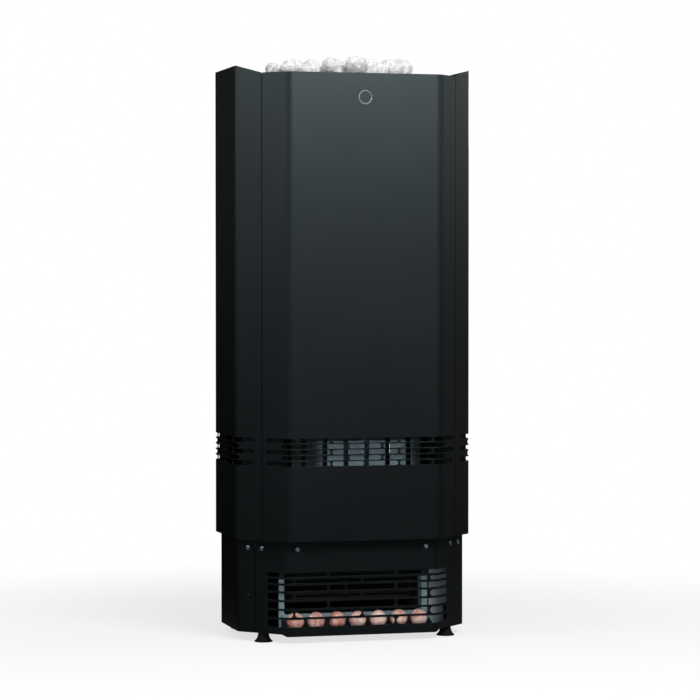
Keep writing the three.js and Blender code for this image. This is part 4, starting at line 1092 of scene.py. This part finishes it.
class HEATER_OT_stage(Operator):
    """Set the floor, the light and the camera"""

    bl_idname = "heater.stage"
    bl_label = "Stage"

    def execute(self, context):
        scene, stage = context.scene, context.scene.heater_stage
        scene.view_settings.view_transform = "Standard"
        self.world(scene, stage)
        self.floor(scene.heater_colours)
        self.drape()
        self.lamp("front_lamp", (0.5, -2.1, 2.1), (0.0, -0.1, 0.8), (1.5, 0.8), stage.key_power)
        self.lamp("left_lamp", (-2.1, -0.6, 2.1), (-0.1, -0.1, 0.8), (1.0, 0.8), stage.side_power)
        self.lamp("right_lamp", (2.3, 0.65, 2.0), (0.1, -0.1, 0.8), (1.0, 1.4), 0.2 * stage.side_power)
        self.lamp("top_lamp", (0.0, -0.2, 3.0), (0.0, 0.0, 1.1), (1.4, 1.4), stage.top_power)
        back = self.lamp("back_lamp", (0.9, 2.3, 1.2), (0.05, 0.1, 0.7), (1.8, 0.8), stage.back_power)
        back.visible_diffuse = False
        low = self.lamp("low_lamp", (-0.9, -1.9, 0.4), (0.0, -0.15, 0.08), (0.6, 0.4), stage.low_power)
        low.visible_glossy = False
        self.camera(scene, stage)
        return {"FINISHED"}

    def world(self, scene, stage):
        world = bpy.data.worlds.new("studio")
        world.use_nodes = True
        scene.world = world
        tree = NodeTree(world.node_tree)
        white = tree.node("ShaderNodeBackground", {}, {"Color": (1, 1, 1, 1), "Strength": 1.0})
        sky = tree.node("ShaderNodeBackground", {}, {"Color": (1, 1, 1, 1), "Strength": stage.sky})
        both = tree.node("ShaderNodeMixShader", {}, {0: tree.seen(), 1: sky, 2: white})
        tree.node("ShaderNodeOutputWorld", {}, {"Surface": both})

    def floor(self, tones):
        bm = bmesh.new()
        bmesh.ops.create_grid(bm, x_segments=8, y_segments=8, size=14)
        mesh = bpy.data.meshes.new("floor")
        bm.to_mesh(mesh)
        bm.free()
        floor = bpy.data.objects.new("floor", mesh)
        bpy.context.scene.collection.objects.link(floor)
        material = bpy.data.materials.new("studio_floor")
        material.use_nodes = True
        tree = NodeTree(material.node_tree)
        place = tree.node("ShaderNodeTexCoord", output="Object")
        away = tree.node("ShaderNodeVectorMath", {"operation": "LENGTH"}, {0: place}, "Value")
        near = tree.node("ShaderNodeMapRange", {"interpolation_type": "SMOOTHSTEP"}, {0: away, 1: 0.4, 2: 1.5, 3: 1, 4: 0})
        matt = tree.node("ShaderNodeBsdfDiffuse", {}, {"Color": tones.floor})
        white = tree.node("ShaderNodeEmission", {}, {"Color": (1, 1, 1, 1), "Strength": 1.0})
        share = tree.seen() * (1 - 0.3 * near)
        both = tree.node("ShaderNodeMixShader", {}, {0: share, 1: matt, 2: white})
        tree.node("ShaderNodeOutputMaterial", {}, {"Surface": both})
        mesh.materials.append(material)

    def drape(self):
        """Graded cloth round the stage, outside the picture, that the coated sides mirror"""
        material = bpy.data.materials.new("drape_cloth")
        material.use_nodes = True
        tree = NodeTree(material.node_tree)
        place = tree.node("ShaderNodeTexCoord", output="Object")
        x, y, z = (tree.node("ShaderNodeSeparateXYZ", {}, {0: place}, axis) for axis in "XYZ")
        grade = tree.ramp(z, (0.015, 0), (0.02, 0.045), (0.3, 0.052), (0.55, 0.074), (1, 0.40))
        ground = tree.ramp((x * x + y * y) ** 0.5 / 2, (0.3, 0.055), (0.5, 0.03), (0.7, 0.015), (0.95, 0.027))
        ground = ground * (1 - 0.8 * tree.step(x, -0.22, -0.30) * tree.step(y, -0.12, 0.05))
        right = 1 - 0.45 * tree.step(x, 0.8, 1.5) * (tree.step(z, 0.4, 0.65) - tree.step(z, 0.9, 1.15))
        side = 0.045 + 0.955 * tree.step(((x + 0.5) ** 2 + (y - 1.9) ** 2) ** 0.5, 1.0, 1.8)
        glow = tree.node("ShaderNodeEmission", {}, {"Color": (grade | ground) * side * right})
        tree.node("ShaderNodeOutputMaterial", {}, {"Surface": glow})
        ring = lathe([(0.02, 0.01), (1.95, 0.01), (1.95, 1.1)], 64)
        cards = bmesh.new()
        for start, end in (((-2.4, 1.4), (0.6, 2.2)), ((2.6, -0.8), (2.6, 2.2))):
            corners = [(*start, 0), (*end, 0), (*end, 2.8), (*start, 2.8)]
            cards.faces.new([cards.verts.new(corner) for corner in corners])
        for name, bm in (("drape_ring", ring), ("drape_cards", cards)):
            mesh = bpy.data.meshes.new(name)
            bm.to_mesh(mesh)
            bm.free()
            drape = bpy.data.objects.new(name, mesh)
            bpy.context.scene.collection.objects.link(drape)
            drape.visible_camera = drape.visible_diffuse = drape.visible_shadow = False
            mesh.materials.append(material)

    def lamp(self, name, place, aim, size, power):
        light = bpy.data.lights.new(name, "AREA")
        light.shape = "RECTANGLE"
        light.size, light.size_y = size
        light.energy = power
        lamp = bpy.data.objects.new(name, light)
        lamp.location = place
        lamp.rotation_euler = (Vector(aim) - Vector(place)).to_track_quat("-Z", "Y").to_euler()
        lamp.visible_camera = False
        bpy.context.scene.collection.objects.link(lamp)
        return lamp

    def camera(self, scene, stage):
        data = bpy.data.cameras.new("camera")
        data.lens = stage.lens
        data.sensor_width = 36
        data.clip_start, data.clip_end = 0.1, 100
        camera = bpy.data.objects.new("camera", data)
        scene.collection.objects.link(camera)
        camera.location = stage.eye
        camera.rotation_euler = (math.pi / 2 - stage.dip, 0, stage.heading)
        scene.camera = camera


class HEATER_PT_looks(Panel):
    """Lists the steps that dress the heater"""

    bl_idname = "HEATER_PT_looks"
    bl_label = "Heater"
    bl_space_type = "VIEW_3D"
    bl_region_type = "UI"
    bl_category = "Heater"

    def draw(self, context):
        for step in STEPS:
            self.layout.operator(step.bl_idname)
        for group in GROUPS:
            for name in GROUPS[group].__annotations__:
                self.layout.prop(getattr(context.scene, group), name)


GROUPS = {
    "heater_sheet": SheetSizes,
    "heater_details": DetailSizes,
    "heater_colours": HeaterColours,
    "heater_stage": StageSizes,
}
STEPS = (
    HEATER_OT_casing,
    HEATER_OT_base,
    HEATER_OT_badge,
    HEATER_OT_screws,
    HEATER_OT_frame,
    HEATER_OT_fan,
    HEATER_OT_feet,
    HEATER_OT_gland,
    HEATER_OT_stones,
    HEATER_OT_salt,
    HEATER_OT_stage,
)


def register():
    for kind in (*GROUPS.values(), *STEPS, HEATER_PT_looks):
        bpy.utils.register_class(kind)
    for name, kind in GROUPS.items():
        setattr(bpy.types.Scene, name, PointerProperty(type=kind))


def unregister():
    for name in GROUPS:
        delattr(bpy.types.Scene, name)
    for kind in (HEATER_PT_looks, *reversed(STEPS), *reversed(GROUPS.values())):
        bpy.utils.unregister_class(kind)


def main():
    register()
    for step in STEPS:
        group, name = step.bl_idname.split(".")
        getattr(getattr(bpy.ops, group), name)()


if __name__ == "__main__":
    main()
